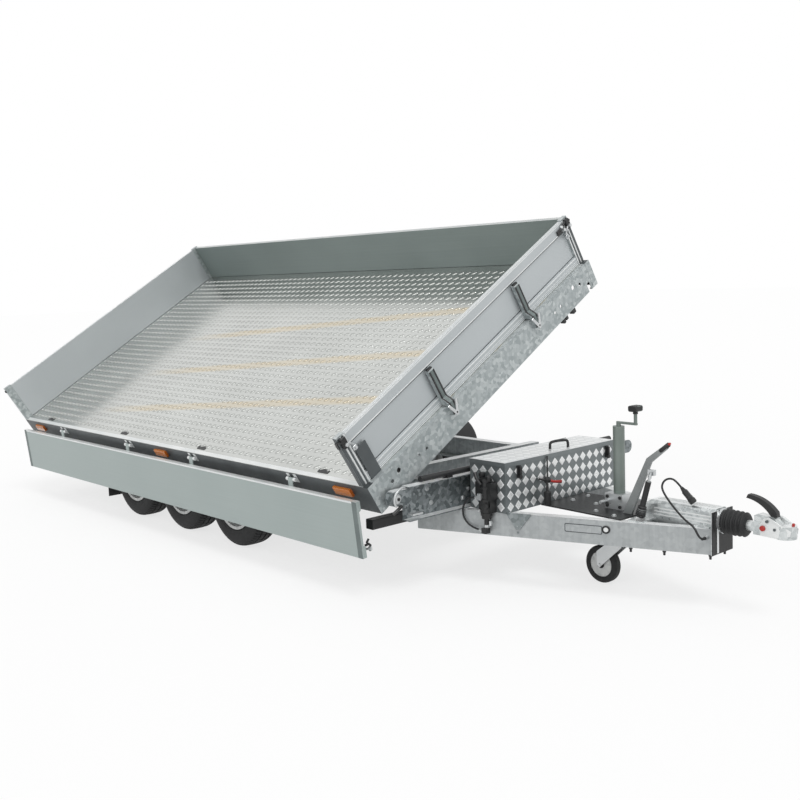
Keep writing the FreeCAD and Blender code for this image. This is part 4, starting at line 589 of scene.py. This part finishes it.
relief = piece("cable_relief", [turned([(-1, 8.4), (3, 8.4), (5, 7.4), (26, 5.6), (28, 5.2)], CABLE[0], RIGHT, 20)],
               "rubber", smooth=True)
plug_way = np.array(CABLE[-1], float) - np.array(CABLE[-2], float)
ribs = [(distance, radius) for step in range(5) for distance, radius in
        ((2 + 4 * step, 6.6 + step), (4 + 4 * step, 8.4 + step * 0.8))]
plug_neck = turned([(-2, 5.4), *ribs, (23, 12)], CABLE[-1], plug_way, 20)
plug_body = turned([(22, 11), (24, 15.6), (58, 15.6), (60, 16.4), (72, 16.4)], CABLE[-1], plug_way, 6)
plug_cap = turned([(70, 15), (73, 18.4), (90, 18.4), (92.5, 16.5), (95.5, 16.5), (95.5, 13), (93, 12.6)], CABLE[-1],
                  plug_way, 24)
plug_piece = piece("cable_plug", [plug_neck, plug_body, plug_cap], "pump_black", instead="plug")
ferrules = [turned(profile, foot, (-1, 0, 0), sides) for foot in (HOSE[0], HOSE[-1])
            for profile, sides in (([(-3, 9.5), (7, 9.5)], 6), ([(6, 7.6), (22, 7.6), (24, 5.6)], 20))]
hose_ends = piece("hose_ferrules", ferrules, "bright_steel")
piece("hose_union", [pad(23, 34, 3, (2401, 495.5), -537.5, -517.5, SIDE, 1)], "bright_steel")

print("cords: lamp cable 0.50 m with its plug, hydraulic hose 0.33 m")

# %% [markdown]
# The load floor is aluminium tread plate: more than two thousand small raised bars, all leaning the same way, 60 mm
# apart. One bar is a low dome over an oval. Its few points are worked out once and added to every place of the lattice
# in one go, so the whole floor is a single array.

# %% Bars of the tread plate
BAR_PITCH, BAR_LENGTH, BAR_WIDTH, BAR_RISE, BAR_CORNERS = 60.0, 50.0, 20.0, 4.5, 10
BED_BACK, BED_FRONT, BED_ACROSS = -1997.0, 2128.0, 2050.0


def raised_bars(across, along, lean, length, width, rise, corners, sink=0.3):
    """Bars on a lattice: an oval (cos a, sin a) scaled to length and width, with an inner ring and a raised middle."""
    angle = np.arange(corners) * 2 * np.pi / corners
    oval = np.stack([np.cos(angle) * length / 2, np.sin(angle) * width / 2], axis=-1)
    spin = np.array([[np.cos(lean), np.sin(lean)], [-np.sin(lean), np.cos(lean)]])
    rings = np.concatenate([oval @ spin, oval @ spin * (0.72, 0.72), np.zeros((1, 2))])
    rises = np.concatenate([np.full(corners, -sink), np.full(corners, rise * 0.85), [rise]])
    centres = np.stack(np.meshgrid(along, across, indexing="ij"), axis=-1).reshape(-1, 1, 2)
    flat = centres + rings
    points = np.concatenate([flat, np.broadcast_to(rises[None, :, None], (*flat.shape[:2], 1))], axis=-1)
    number = np.arange(corners)
    nxt = np.roll(number, -1)
    skirt = np.stack([number, nxt, nxt + corners, number + corners], axis=-1)
    crown = np.stack([number + corners, nxt + corners, np.full(corners, 2 * corners)], axis=-1)
    faces = []
    for shift in np.arange(len(centres)) * (2 * corners + 1):
        faces += (skirt + shift).tolist() + (crown + shift).tolist()
    return points.reshape(-1, 3), faces


bars = raised_bars(np.arange(45.0, BED_ACROSS - 25, BAR_PITCH), np.arange(BED_BACK + 35, BED_FRONT - 25, BAR_PITCH),
                   np.radians(45), BAR_LENGTH, BAR_WIDTH, BAR_RISE, BAR_CORNERS)
piece("floor_bars", [bars], "raised_floor", "bed", smooth=True)

# %% [markdown]
# The tool box is made of another plate, with fat diamonds and narrow gaps. The same lattice function draws them with
# four corners each, on the box's front, on its lid and on both ends.

# %% Diamonds of the tool box
DIAMOND_PITCH, DIAMOND_SIZE, DIAMOND_RISE = 60.4, 55.0, 1.4
BOX_BACK, BOX_FRONT, BOX_HALF, BOX_LOW, BOX_TOP, LID_TOP = 2270.0, 2520.0, 460.0, 410.0, 652.0, 676.1


def centred(low, high, pitch):
    """As many places a pitch apart as fit between low and high, with the same gap left at both ends."""
    count = int((high - low) // pitch)
    return (low + high) / 2 + (np.arange(count) - (count - 1) / 2) * pitch


def on_faces(shape, order, signs, level_at):
    """Puts a flat pattern (a, b, rise) on a box face: its three numbers go to the axes in the given order."""
    points, faces = shape
    moved = np.zeros_like(points)
    for source, (axis, sign) in enumerate(zip(order, signs)):
        moved[:, axis] = sign * points[:, source]
    moved[:, order[2]] += level_at
    return moved, faces


def diamonds(low_a, high_a, low_b, high_b):
    """The diamond lattice of one face, from the lattice function with four corners to each form."""
    return raised_bars(centred(low_b, high_b, DIAMOND_PITCH), centred(low_a, high_a, DIAMOND_PITCH), 0.0,
                       DIAMOND_SIZE, DIAMOND_SIZE, DIAMOND_RISE, 4)


front_diamonds = on_faces(diamonds(-BOX_HALF, BOX_HALF, BOX_LOW, BOX_TOP), END, (1, 1, 1), BOX_FRONT)
right_diamonds = on_faces(diamonds(BOX_BACK, BOX_FRONT, BOX_LOW, BOX_TOP), SIDE, (1, 1, -1), -BOX_HALF)
left_diamonds = on_faces(diamonds(-BOX_FRONT, -BOX_BACK, BOX_LOW, BOX_TOP), SIDE, (-1, 1, 1), BOX_HALF)
lid_diamonds = on_faces(diamonds(BOX_BACK, BOX_FRONT, -BOX_HALF, BOX_HALF), FLAT, (1, 1, 1), LID_TOP)
piece("box_diamonds", [front_diamonds, right_diamonds, left_diamonds], "raised_box")
piece("lid_diamonds", [lid_diamonds], "raised_box", "box_lid")
# The pale sheet over the lid is painted light on the box's top.
LID = [(2272, -464), (2524, -464), (2524, 464), (2272, 464)]
piece("lid_painted_light_sheet", [slab(LID, 675.2, LID_TOP, FLAT, 0.3)], "pale_plate", "box_lid")

# %% [markdown]
# A tyre is a ring with a rounded section, given as (across, radius) pairs. The tread is that same surface with its
# radius lowered in grooves: three go round the tyre and short ones cross its shoulders. So the whole tyre is one
# function of the angle and of the place on the section.

# %% Tyres
WHEEL_MIDDLE, AXLE_HEIGHT, AXLE_GAP = 823.0, 300.0, 640.5
GROOVE_DEPTH, RIBS_ROUND, ANGLE_STEPS = 7.0, 72, 288
HALF_SECTION = np.array([
    (-62, 186), (-74, 188), (-81, 200), (-84.5, 218), (-85, 238), (-83.5, 256), (-80, 270), (-75, 281), (-70, 288),
    (-64, 293), (-56, 296), (-50, 297.5), (-44, 298.3), (-41, 298.5), (-33, 298.7), (-30, 299), (-20, 299.4),
    (-10, 299.7), (-5, 299.8), (-4, 299.8)])
SECTION = np.concatenate([HALF_SECTION, HALF_SECTION[::-1] * (-1, 1)])
GROOVES_ROUND, GROOVE_HALF = np.array([[-37.0], [0.0], [37.0]]), 4.5


def tyre_surface(centre_x, centre_y):
    """Tyre: x + r sin a, y + across, z + r cos a, where r is the section's radius less the groove depth there."""
    across, radius = SECTION.T
    angle = np.arange(ANGLE_STEPS) * 2 * np.pi / ANGLE_STEPS
    around = np.abs(across - GROOVES_ROUND).min(axis=0) < GROOVE_HALF
    shoulder = (np.abs(across) > 42) & (np.abs(across) < 72)
    centre_rib = (np.abs(across) < 33) & (np.abs(across) > GROOVE_HALF)
    beat = (np.arange(ANGLE_STEPS) % (ANGLE_STEPS // RIBS_ROUND)) == 0
    half_beat = (np.arange(ANGLE_STEPS) % (ANGLE_STEPS // (RIBS_ROUND // 2))) == 2
    cut = np.maximum(around, beat[:, None] * shoulder)
    depth = radius - GROOVE_DEPTH * np.maximum(cut, half_beat[:, None] * centre_rib * 0.6)
    grid = np.stack([centre_x + depth * np.sin(angle)[:, None],
                     centre_y + np.broadcast_to(across, depth.shape),
                     AXLE_HEIGHT + depth * np.cos(angle)[:, None]], axis=-1)
    return flipped(walls(grid, joined=True))


for side, side_sign in (("right", -1), ("left", 1)):
    for row in (1, 2, 3):
        surface = tyre_surface((2 - row) * AXLE_GAP, side_sign * WHEEL_MIDDLE)
        piece(f"tread_{side}_{row}", [surface], "tyre", f"wheel_{side}_{row}", instead=f"tyre_{side}_{row}")

# %% [markdown]
# Bolts hold the frames together. A zinc bolt is a six-sided head on a round washer, so the same turned shape with six
# sides or with sixteen gives both, and a list of places gives them all.

# %% Bolts
HEAD, WASHER = 10.0, 13.0


def bolt(place, axis):
    """A washer and a hexagon head along an axis."""
    return [turned([(-0.5, WASHER), (2, WASHER), (2.5, WASHER * 0.9)], place, axis, 16),
            turned([(2, HEAD), (8.5, HEAD), (10, HEAD * 0.82)], place, axis, 6)]


bolster_bolts = [shape for side in (-1, 1) for y, z in ((729, 548), (703, 470), (468, 455), (424, 500))
                 for shape in bolt((2215.3, side * y, z), AHEAD)]
deck_bolts = [shape for x, y in ((2599, -11), (2752, -11), (2849, -139), (2983, -169), (2752, 60), (2599, 120))
              for shape in bolt((x, y, 416.3), UP)]
piece("bolster_bolts", bolster_bolts, "bright_steel")
piece("deck_bolts", deck_bolts, "bright_steel")
DECK_EDGE = ((2524, -186), (3000, -204), (3048, -206), (3048, 206), (3000, 204), (2524, 186))
piece("deck_cover", [slab(DECK_EDGE, 408.5, 416.4, FLAT, 1)], "black_steel", instead="deck_plate")

# %% [markdown]
# The box lid has a black handle that lies across it, two toggle catches at the front, and a thin black stay down to
# the valve knob with its red lever. They are bent rods and small rounded plates.

# %% Fittings of the tool box
handle_line = eased([(2436, 2, 675), (2436, 2, 708), (2445, 12, 718), (2465, 103, 718), (2472, 113, 708),
                     (2472, 113, 675)])
piece("lid_grip", [rod(handle_line, 7.5, 14)], "black_plastic", "box_lid", smooth=True)
catches = []
for y in (-357, 397):
    catches += [pad(30, 66, 6, (y, 616), 2519.8, 2528, END, 1), pad(14, 48, 5, (y, 622), 2527, 2541, END, 2),
                stub(11, 12, 14, 8, (2528, y, 590), AHEAD, 16)]
piece("box_catches", catches, "black_steel")
stay = [rod([(2531, -137, 668), (2531, -137, 552)], 4, 10),
        turned([(-20, 6), (-14, 15), (6, 17), (16, 12), (20, 5)], (2552, -166, 546), (0.3, 1, 0), 18),
        stub(19, 70, 74, 15, (2568, -184, 416), UP, 20),
        rod([(2568, -184, 482), (2564, -180, 514), (2556, -172, 544)], 7),
        rod([(2570, -250, 566), (2556, -190, 550)], 5, 10)]
piece("valve_stay", stay, "black_plastic")
red_lever = rod([(2556, -150, 542), (2564, -130, 533), (2580, -84, 528)], (7, 7, 9.5), 12)
piece("valve_lever", [red_lever], "red_plastic", smooth=True)

# %% [markdown]
# The hand pump is a casting with turned parts: collars round its cylinder, a nut at its foot, a filler cap and a lever
# socket. Turned shapes of a few rings each are enough.

# %% Hand pump fittings
collars = [turned([(0, 27), (1, 31), (13, 31), (14, 27)], (2420, -500, z), UP, 28) for z in (396, 470, 536, 578)]
socket = [rod([(2412, -528, 560), (2386, -534, 592), (2368, -526, 618)], 9),
          stub(13, 26, 29, 9, (2446, -510, 586), (0.4, -0.3, 1), 6),
          turned([(0, 17), (5, 19), (16, 19), (20, 14)], (2385, -490, 598), UP, 14),
          stub(15, 10, 12, 12, (2440, -522, 450), (0.2, -1, 0), 6)]
piece("pump_collars", collars + socket, "pump_black")
pump_nuts = [stub(15, 14, 15, 13, (2420, -500, 332), UP, 6),
             stub(9, 22, 24, 7, (2444, -498, 345), UP, 6),
             stub(8, 9, 10, 6, (2390, -518, 420), RIGHT, 6)]
piece("pump_nuts", pump_nuts, "bright_steel")

# %% [markdown]
# The drawbar's beams slant, so a third way of placing is handy: x along the beam, y from its outer face outwards to
# the right, z up. The right beam carries a three-cornered gusset, a rim round a bare place for a plate, a black ring,
# bolts through its lower flange and a black end plate with a bright strap.

# %% Drawbar fittings
BEAM_NOSE, BEAM_NOSE_HALF, BEAM_SLOPE = 3477.0, 75.375, 0.375


def on_right_beam(points):
    """Beam millimetres (x, out, z) to the scene: y = -(half at the nose + slope * (nose - x)), then out squarely."""
    x, out, z = np.moveaxis(np.asarray(points, float), -1, 0)
    stretch = np.hypot(1.0, BEAM_SLOPE)
    face = -(BEAM_NOSE_HALF + BEAM_SLOPE * (BEAM_NOSE - x))
    return on_ground(np.stack([x - out * BEAM_SLOPE / stretch, face + out / stretch, z], axis=-1))


RING = (2997, 0, 366)
piece("plate_rim", [pad(182, 44, 7, (2888, 361), -1.6, 0.2, SIDE, 0.5)], "dark_plate", place=on_right_beam)
piece("plate_place", [pad(174, 36, 6, (2888, 361), -2.2, -0.9, SIDE, 0.5)], "beam_zinc", place=on_right_beam)
piece("beam_ring", [turned([(-0.5, 20), (5, 20), (6.5, 18), (6.5, 13), (2, 12)], RING, RIGHT, 30)], "black_plastic",
      place=on_right_beam)
piece("beam_ring_plug", [stub(11.8, 4.5, 5, 10, RING, RIGHT, 20)], "pale_trim",
      place=on_right_beam)
GUSSET = ((2563, 328), (2573, 328), (2632, 408), (2632, 414), (2505, 414), (2505, 408), (2553, 328))
gusset_parts = [slab(GUSSET, -8, 0.3, SIDE, 1),
                stub(8, 5, 6, 6, (2563, -7, 340), RIGHT, 6),
                turned([(-1, 6), (3, 6)], (2563, 0, 312), RIGHT, 16)]
piece("box_gusset", gusset_parts, "dull_zinc", place=on_right_beam)

HANGING_BOLT = ((-1, 12), (3, 12), (4, 9), (12, 9), (12.5, 6), (26, 6), (27, 4))
hanging_bolts = [turned(HANGING_BOLT, (x, y, 286.5), (0, 0, -1), 6) for x, y in
                 ((3255, -140), (3459, -64), (3255, 140), (3459, 64), (3100, -196), (3100, 196))]
piece("flange_bolts", hanging_bolts, "black_steel")

END_PLATE = [(-91, 285.5), (91, 285.5), (91, 494.6), (-91, 494.6)]
piece("end_cover", [slab(END_PLATE, 3482, 3487, END, 1)], "black_plastic")
piece("end_strap", [pad(14, 206, 3, (-46, 395), 3487, 3490, END, 0.8)], "pale_trim")

# %% [markdown]
# The rubber bellows between the housing and the head is a tube whose radius swings in and out five times along its
# length. The cosine gives round folds, where the solid model has sharp ones. A bright clamp holds its rear end.

# %% Bellows
FOLDS, FOLD_STEPS, FOLD_PITCH = 5, 8, 24.0
share = np.linspace(0, 1, FOLDS * FOLD_STEPS + 1)
fold_radius = 55.5 - 6.0 * np.cos(2 * np.pi * FOLDS * share) - 4.0 * share ** 3
fold_profile = np.stack([share * FOLDS * FOLD_PITCH, fold_radius], axis=-1)
fold_profile = np.concatenate([[(-1.0, 44.0)], fold_profile, [(FOLDS * FOLD_PITCH + 0.5, 30.0)]])
piece("bellows_skin", [turned(fold_profile, (3499, 0, 440), AHEAD, 40)], "rubber", smooth=True, instead="bellows")
clamp_ring = turned([(-14, 56), (-13, 60), (-1, 60), (0, 56)], (3500, 0, 440), AHEAD, 40)
piece("bellows_clamp", [clamp_ring], "bright_steel")

# %% [markdown]
# The overrun housing is pressed with flutes along its top. The brake's spring strut stands beside it: a black tube in
# a folded rubber boot with a bright fork at its head. The brake lever ends in a black grip with a red button.

# %% Housing and brake


def flute(middle, *slab_settings):
    """A long thin ridge on the housing, 6 mm wide about its middle line."""
    return slab([(3140, middle - 3), (3462, middle - 3), (3462, middle + 3), (3140, middle + 3)], *slab_settings)


piece("housing_flutes", [flute(y, 501.6, 503.6, FLAT, 1) for y in (-14, 0, 14, 28)], "pale_trim")
piece("housing_side_flutes", [flute(z, -56.6, -54.6, SIDE, 0.8) for z in (432, 448, 464)], "pale_trim")

STRUT_FOOT, STRUT_LEAN = np.array([3100.0, -115.0, 424.0]), np.radians(16)
strut_way = np.array([np.sin(STRUT_LEAN), 0.0, np.cos(STRUT_LEAN)])
folds = [(4 + 9 * fold + step, 21.5 + 5 * (step == 4) - 0.9 * fold) for fold in range(6) for step in (0, 4)]
strut_shapes = [turned([(-1, 21), *folds, (58, 15)], STRUT_FOOT, strut_way, 28),
                turned([(56, 14.2), (188, 14.2), (191, 10), (192, 6)], STRUT_FOOT, strut_way, 24)]
piece("strut_sleeve", strut_shapes, "black_plastic")
fork_top = [turned([(191, 7), (206, 7), (207, 10), (222, 10), (223, 7), (236, 7)], STRUT_FOOT, strut_way, 6),
            slab([(3138, 634), (3176, 634), (3176, 662), (3138, 662)], -106, -84, SIDE, 2)]
piece("strut_fork", fork_top, "bright_steel")
grip = rod([(3196, -75, 755), (3206, -75, 763), (3243, -75, 793)], (11, 12.5, 11.5), 14)
piece("lever_grip", [grip], "black_plastic", smooth=True)
piece("lever_button", [rod([(3241, -75, 791), (3251, -75, 799)], (8, 5.5))], "red_plastic")

# %% [markdown]
# The coupling head is pressed from plate, with a three-cornered cheek on each side, held by two bolts. A red wear
# mark sits at its side and a small red pointer on its nose.

# %% Coupling head
CHEEK = ((3700, 412), (3782, 412), (3842, 428), (3846, 452), (3812, 470), (3774, 492), (3742, 504), (3716, 494),
         (3694, 462))
cheeks = []
for low, high in ((-48, -40), (40, 48)):
    points, faces = slab(CHEEK, low, high, SIDE, 2)
    points[:, 1] = points[:, 1] * np.interp(points[:, 0], (3700, 3800, 3850), (0.9, 1.16, 0.75))
    cheeks.append((points, faces))
piece("coupling_cheeks", cheeks, "pale_trim")
cheek_bolts = [stub(7, 4, 5, 5, (x, side * 51, z), (0, side, 0), 6, -6)
               for x, z in ((3738, 484), (3776, 452)) for side in (-1, 1)]
piece("cheek_bolts", cheek_bolts, "dark_plate")
marks = [stub(13, 3, 5, 10, (3716, -50, 449), RIGHT, 20, -6),
         stub(7, 12, 15, 4, (3838, 0, 468), (0.2, 0, 1), 14)]
piece("coupling_marks", marks, "red_plastic")

# %% [markdown]
# The jockey wheel has a pale rim inside its solid tyre and a black knob on its crank. The bolts of its clamp are black.

# %% Jockey wheel fittings
rim_faces = [turned([(0, 60), (1.5, 60), (3, 52), (3, 22), (6, 20)], (2785, side * 7.5, 100), (0, side, 0), 32)
             for side in (-1, 1)]
rim_faces += [turned([(0, 67), (2, 66.5), (3, 62)], (2785, side * 18, 100), (0, side, 0), 36) for side in (-1, 1)]
piece("jockey_rim", rim_faces, "rim", "jockey_wheel")
knob = [pad(50.5, 30.5, 9, (2999, 943), -31.5, 31.5, SIDE, 4), stub(13, 5, 14, 11.5, (2999, 0, 915), UP, 16)]
piece("crank_knob", knob, "black_plastic")
clamp_bolts = [stub(9, 7, 8, 7, (x, -45, z), RIGHT, 6, -1) for x in (2852, 2930) for z in (432, 480)]
clamp_bolts.append(stub(12, 4, 5, 10, (2895, -104, 456), RIGHT, 6))
piece("clamp_bolts", clamp_bolts, "black_steel")

# %% [markdown]
# Near the floor's low edge lies a bright aluminium strip, and small dark recesses for lashing rings sit beside it.
# Both are flat plates on the tipped floor, so they are drawn in the bed's own directions.

# %% Floor edge
EDGE = [(BED_BACK + 2, -26), (BED_FRONT - 2, -26), (BED_FRONT - 2, 2), (BED_BACK + 2, 2)]
piece("floor_edge", [slab(EDGE, 0.1, 0.9, FLAT, 0.25)], "pale_trim", "bed")
recesses = [pad(90, 30, 8, (x, 28), 0.1, 2.4, FLAT, 0.5) for x in (-1630, -440, 564, 1781)]
piece("lashing_recesses", recesses, "black_steel", "bed")

# %% [markdown]
# Every board has a ribbed top, drawn pale, and a bright line where its panel meets the rails: both are painted
# highlights. The dark lines on the front board are painted shade. These are thin strips along the board, so one
# function lays a strip on any board from its own three directions.

# %% Trim of the boards
BOARD_ENDS, SIDE_TO_SIDE = (BED_BACK + 3, BED_FRONT - 3), (31, 2019)


def strip(low, high, a, b, axes):
    """A thin strip: a rectangle a x b (two ranges) between low and high."""
    outline = [(a[0], b[0]), (a[1], b[0]), (a[1], b[1]), (a[0], b[1])]
    return slab(outline, low, high, axes, min(0.5, (high - low) / 3))


def top_ribs(middle, across_first):
    """Three ribs 8.5 mm apart on a board's top, along its length: across the bed for the end boards."""
    ribs = [(middle + step - 2.5, middle + step + 2.5) for step in (-8.5, 0, 8.5)]
    return [strip(300, 300.9, rib, SIDE_TO_SIDE, FLAT) if across_first else strip(300, 300.9, BOARD_ENDS, rib, FLAT)
            for rib in ribs]


# The pale ribs and lines below are painted highlights, and the dark lines on the front board are painted shade.
edge_highlight_lines = [strip(1, 2.1, BOARD_ENDS, (-27, -0.5), FLAT), strip(-0.4, 0.9, BOARD_ENDS, (2.5, 12), SIDE)]
end_caps = [strip(-0.5, 1.4, span, (2, 300), SIDE) for span in ((2092, 2127), (-1996, -1961))]
front_highlight_lines = [strip(2154.6, 2155.8, SIDE_TO_SIDE, (w, w + wide), END) for w, wide in
               ((3, 4), (14, 3), (24, 3), (44, 6), (240, 6), (292, 6))]
front_shade_lines = [strip(2143, 2144, SIDE_TO_SIDE, (w, w + 5), END) for w in (56.5, 228.5)]
for name, shapes, finish, body in (
        ("low_board_ends", end_caps, "end_profile", "side_board_right"),
        ("low_board_ribs", top_ribs(-13.5, False), "pale_trim", "side_board_right"),
        ("low_board_edge", edge_highlight_lines, "pale_trim", "side_board_right"),
        ("high_board_ribs", top_ribs(BED_ACROSS + 13.5, False), "pale_trim", "side_board_left"),
        ("rear_board_ribs", top_ribs(-2010.5, True), "pale_trim", "rear_board"),
        ("front_board_ribs", top_ribs(2141.5, True) + front_highlight_lines, "pale_trim", "bed"),
        ("front_board_grooves", front_shade_lines, "dark_plate", "bed")):
    piece(name, shapes, finish, body)

# %% [markdown]
# The corner posts carry the latches. Beside the near post stands a dark latch plate; on top of each post sits a
# folded latch with a bright pivot. Bright and dark strips down the post are painted highlights and painted shade. The
# far front post has a bent handle too, and a plate closes the front end of each side rail. The let-down board has its
# half of the latch at both ends.
# Left and right are mirrored, so the faces are turned over on one side.

# %% Posts and latches


def mirrored_across(shapes):
    """The same shapes on the bed's other side: u becomes the bed's width less u, and the faces are turned over."""
    return [flipped((points * (1, -1, 1) + (0, BED_ACROSS, 0), faces)) for points, faces in shapes]


# The bright strips on the posts are painted highlights, and the dark strips painted shade.
edges = [strip(2155.4, 2158.5, (-5, 3), (0, 300), END), strip(2155.4, 2158, (18, 27), (0, 300), END)]
darks = [strip(2155.4, 2157, (-26.5, -8), (0, 300), END), strip(2155.4, 2156.6, (7, 15), (0, 300), END),
         strip(-28.6, -26.8, (2129, 2154), (4, 306), SIDE)]
latch_black = [pad(34, 62, 7, (-2, 268), 2158, 2176, END, 3),
               rod([(2136, -26, 270), (2152, -30, 284), (2168, -24, 281), (2174, -6, 270)], 6, 10),
               pad(22, 40, 5, (2140, 262), -33.5, -28.5, SIDE, 1.6)]
latch_bright = [stub(10, 10, 12, 7, (2176, -2, 256), AHEAD, 18),
                pad(26, 26, 6, (40, 204), 2161, 2171, END, 2),
                stub(8, 8, 9, 6, (2171, 40, 204), AHEAD, 6),
                rod([(2164, 44, 218), (2172, 24, 246), (2172, 2, 262)], 5, 10)]
piece("post_plates", [pad(76, 218, 5, (76, 84), 2155.8, 2161, END, 1)], "dark_plate", "bed")
for name, shapes, finish, slot in (("post_edges", edges, "pale_trim", "galvanised"),
                                   ("post_darks", darks, "dark_plate", None),
                                   ("latch_blacks", latch_black, "black_steel", None),
                                   ("latch_brights", latch_bright, "bright_steel", None)):
    piece(name, shapes + mirrored_across(shapes), finish, "bed")
far_latch = [rod([(2160, 2062, 292), (2166, 2020, 282), (2162, 1975, 262)], 7, 10),
             pad(46, 30, 5, (1968, 258), 2155.5, 2166, END, 2)]
piece("far_latch", far_latch, "black_steel", "bed")
far_bits = [stub(9, 9, 11, 6, (2160, u, w), AHEAD, 14) for u, w in ((2046, 262), (2012, 250), (1996, 276))]
piece("far_latch_bits", far_bits, "pale_trim", "bed")
rail_ends = [strip(2189.5, 2191.5, span, (-170.4, -3), END) for span in ((-28.6, 17), (2033, 2078.6))]
piece("rail_end_plate", rail_ends, "frame_zinc", "bed")
rear_latch = [pad(34, 62, 7, (-2, 264), -2034, -2024, END, 3),
              rod([(-2030, -26, 268), (-2018, -30, 282), (-2004, -26, 276)], 6, 10)]
piece("rear_latches", rear_latch + mirrored_across(rear_latch), "black_steel", "bed")

hooks, hook_darks = [], []
for end, way in ((2122, 1), (-2000, -1)):
    hooks += [rod([(end - way * 40, -31, 262), (end - way * 10, -40, 262), (end + way * 20, -46, 256)], 6.5),
              stub(13, 8, 10, 9, (end + way * 12, -44, 258), RIGHT, 16)]
    hook_darks += [rod([(end - way * 6, -32, 240), (end + way * 10, -44, 232), (end + way * 14, -52, 244)], 7, 10),
                   rod([(end + way * 2, -38, 226), (end + way * 13, -44, 206)], 6, 10),
                   turned([(0, 7), (12, 7)], (end - way * 30, -28, 286), RIGHT, 6)]
piece("low_board_hooks", hooks, "bright_steel", "side_board_right")
piece("low_board_catches", hook_darks, "black_steel", "side_board_right")

# %% [markdown]
# Two straps hold the front board. Each has a grey middle between black edges and ends in a clamp with a round bolt.
# The strips follow the strap's own bends, so they are ribbons along the same few points.

# %% Straps of the front board
STRAP_PATH = ((2177.0, 214.0), (2177.0, 45.0), (2212.0, 15.0), (2212.0, -58.0))


def ribbon(path, low, high, proud):
    """A ribbon on the strap: at each (x, w) of its path a ring of four corners from u = low to high, proud ahead."""
    x, w = np.asarray(path, float).T
    ring_x = np.stack([x - 1.0, x - 1.0, x + proud, x + proud], axis=1)
    ring_u = np.broadcast_to((low, high, high, low), ring_x.shape)
    return walls(np.stack([ring_x, ring_u, np.broadcast_to(w[:, None], ring_x.shape)], axis=-1))


middles, borders, clamps, clamp_darks = [], [], [], []
for u in (660.0, 1465.0):
    middles.append(ribbon(STRAP_PATH, u - 9, u + 9, 2.2))
    borders += [ribbon(STRAP_PATH, u - 21, u - 11, 1.6), ribbon(STRAP_PATH, u + 11, u + 21, 1.6)]
    fork = [(u - 8, -72), (u + 8, -72), (u + 40, 8), (u + 26, 12), (u, -42), (u - 26, 12), (u - 40, 8)]
    clamps += [slab(fork, 2214, 2220.5, END), stub(13, 8.5, 9.6, 11, (2212, u, -54), AHEAD, 20)]
    clamp_darks += [stub(6, 10.2, 10.5, 5, (2212, u, -54), AHEAD, 6),
                    pad(40, 12, 3, (u, 224), 2155, 2172, END, 2)]
piece("strap_middles", middles, "end_profile", "bed")
piece("strap_borders", borders, "black_steel", "bed")
piece("strap_clamps", clamps, "bright_steel", "bed")
piece("strap_bolts", clamp_darks, "black_steel", "bed")

# %% [markdown]
# The bed's side rail, dark with painted shade, shows a bright block at each hinge, and black catches hang under the
# far end of the front frame. A thin black cover over the face of each outrigger behind the bolster is painted shade.

# %% Hinge blocks, catches and outriggers
hinge_blocks = []
for x in (-1342.25, -321.0, 506.0, 1543.0):
    for side_x in (x - 31, x + 31):
        hinge_blocks += [strip(-30.6, -27.5, (side_x - 12, side_x + 12), (-62, -6), SIDE),
                         turned([(0, 11), (20.5, 11)], (side_x - 10.2, -40, -35), AHEAD, 16)]
piece("hinge_blocks", hinge_blocks + mirrored_across(hinge_blocks), "pale_trim", "bed")
frame_catches = [pad(wide, 36, 5, (u, w), 2154, 2187, END, 2)
                 for u, w, wide in ((1700, -184, 20), (1728, -178, 24), (1806, -184, 30))]
piece("frame_catches", frame_catches, "black_steel", "bed")
# A thin black cover over each outrigger's face: painted shade.
shade_cover = pad(55, 52, 3, (2067, 386), 648, 1002, SIDE, 1.5)
piece("outrigger_painted_shade", [shade_cover, flipped((shade_cover[0] * (1, -1, 1), shade_cover[1]))], "black_steel")

# %% [markdown]
# At the right end of the front bolster sits the keeper of the tipping pin: a bright hooked bar, a washer on the pin
# and a small angle under it. A black bolt sits on the pin, and a thick black bent rod under it is a painted shadow.

# %% Pin keeper
keeper = [turned([(0, 26), (3, 26), (4, 18), (12, 18), (14, 14)], (2256, -975, 540), AHEAD, 24),
          rod(eased([(2268, -930, 592), (2276, -960, 600), (2280, -1004, 576), (2276, -1012, 530), (2268, -990, 506)]),
              6),
          pad(70, 9, 3, (-872, 452), 2262, 2300, END, 1.5)]
piece("pin_keeper", keeper, "bright_steel")
# The six-sided stub is a bolt on the pin; the thick black bent rod under it is a painted shadow.
keeper_bolt_and_shadow = [stub(9, 17, 18, 7, (2256, -975, 540), AHEAD, 6, 12),
                rod([(2262, -950, 500), (2270, -985, 486), (2266, -1010, 470)], 9, 10)]
piece("pin_keeper_bolt_and_shadow", keeper_bolt_and_shadow, "black_steel")
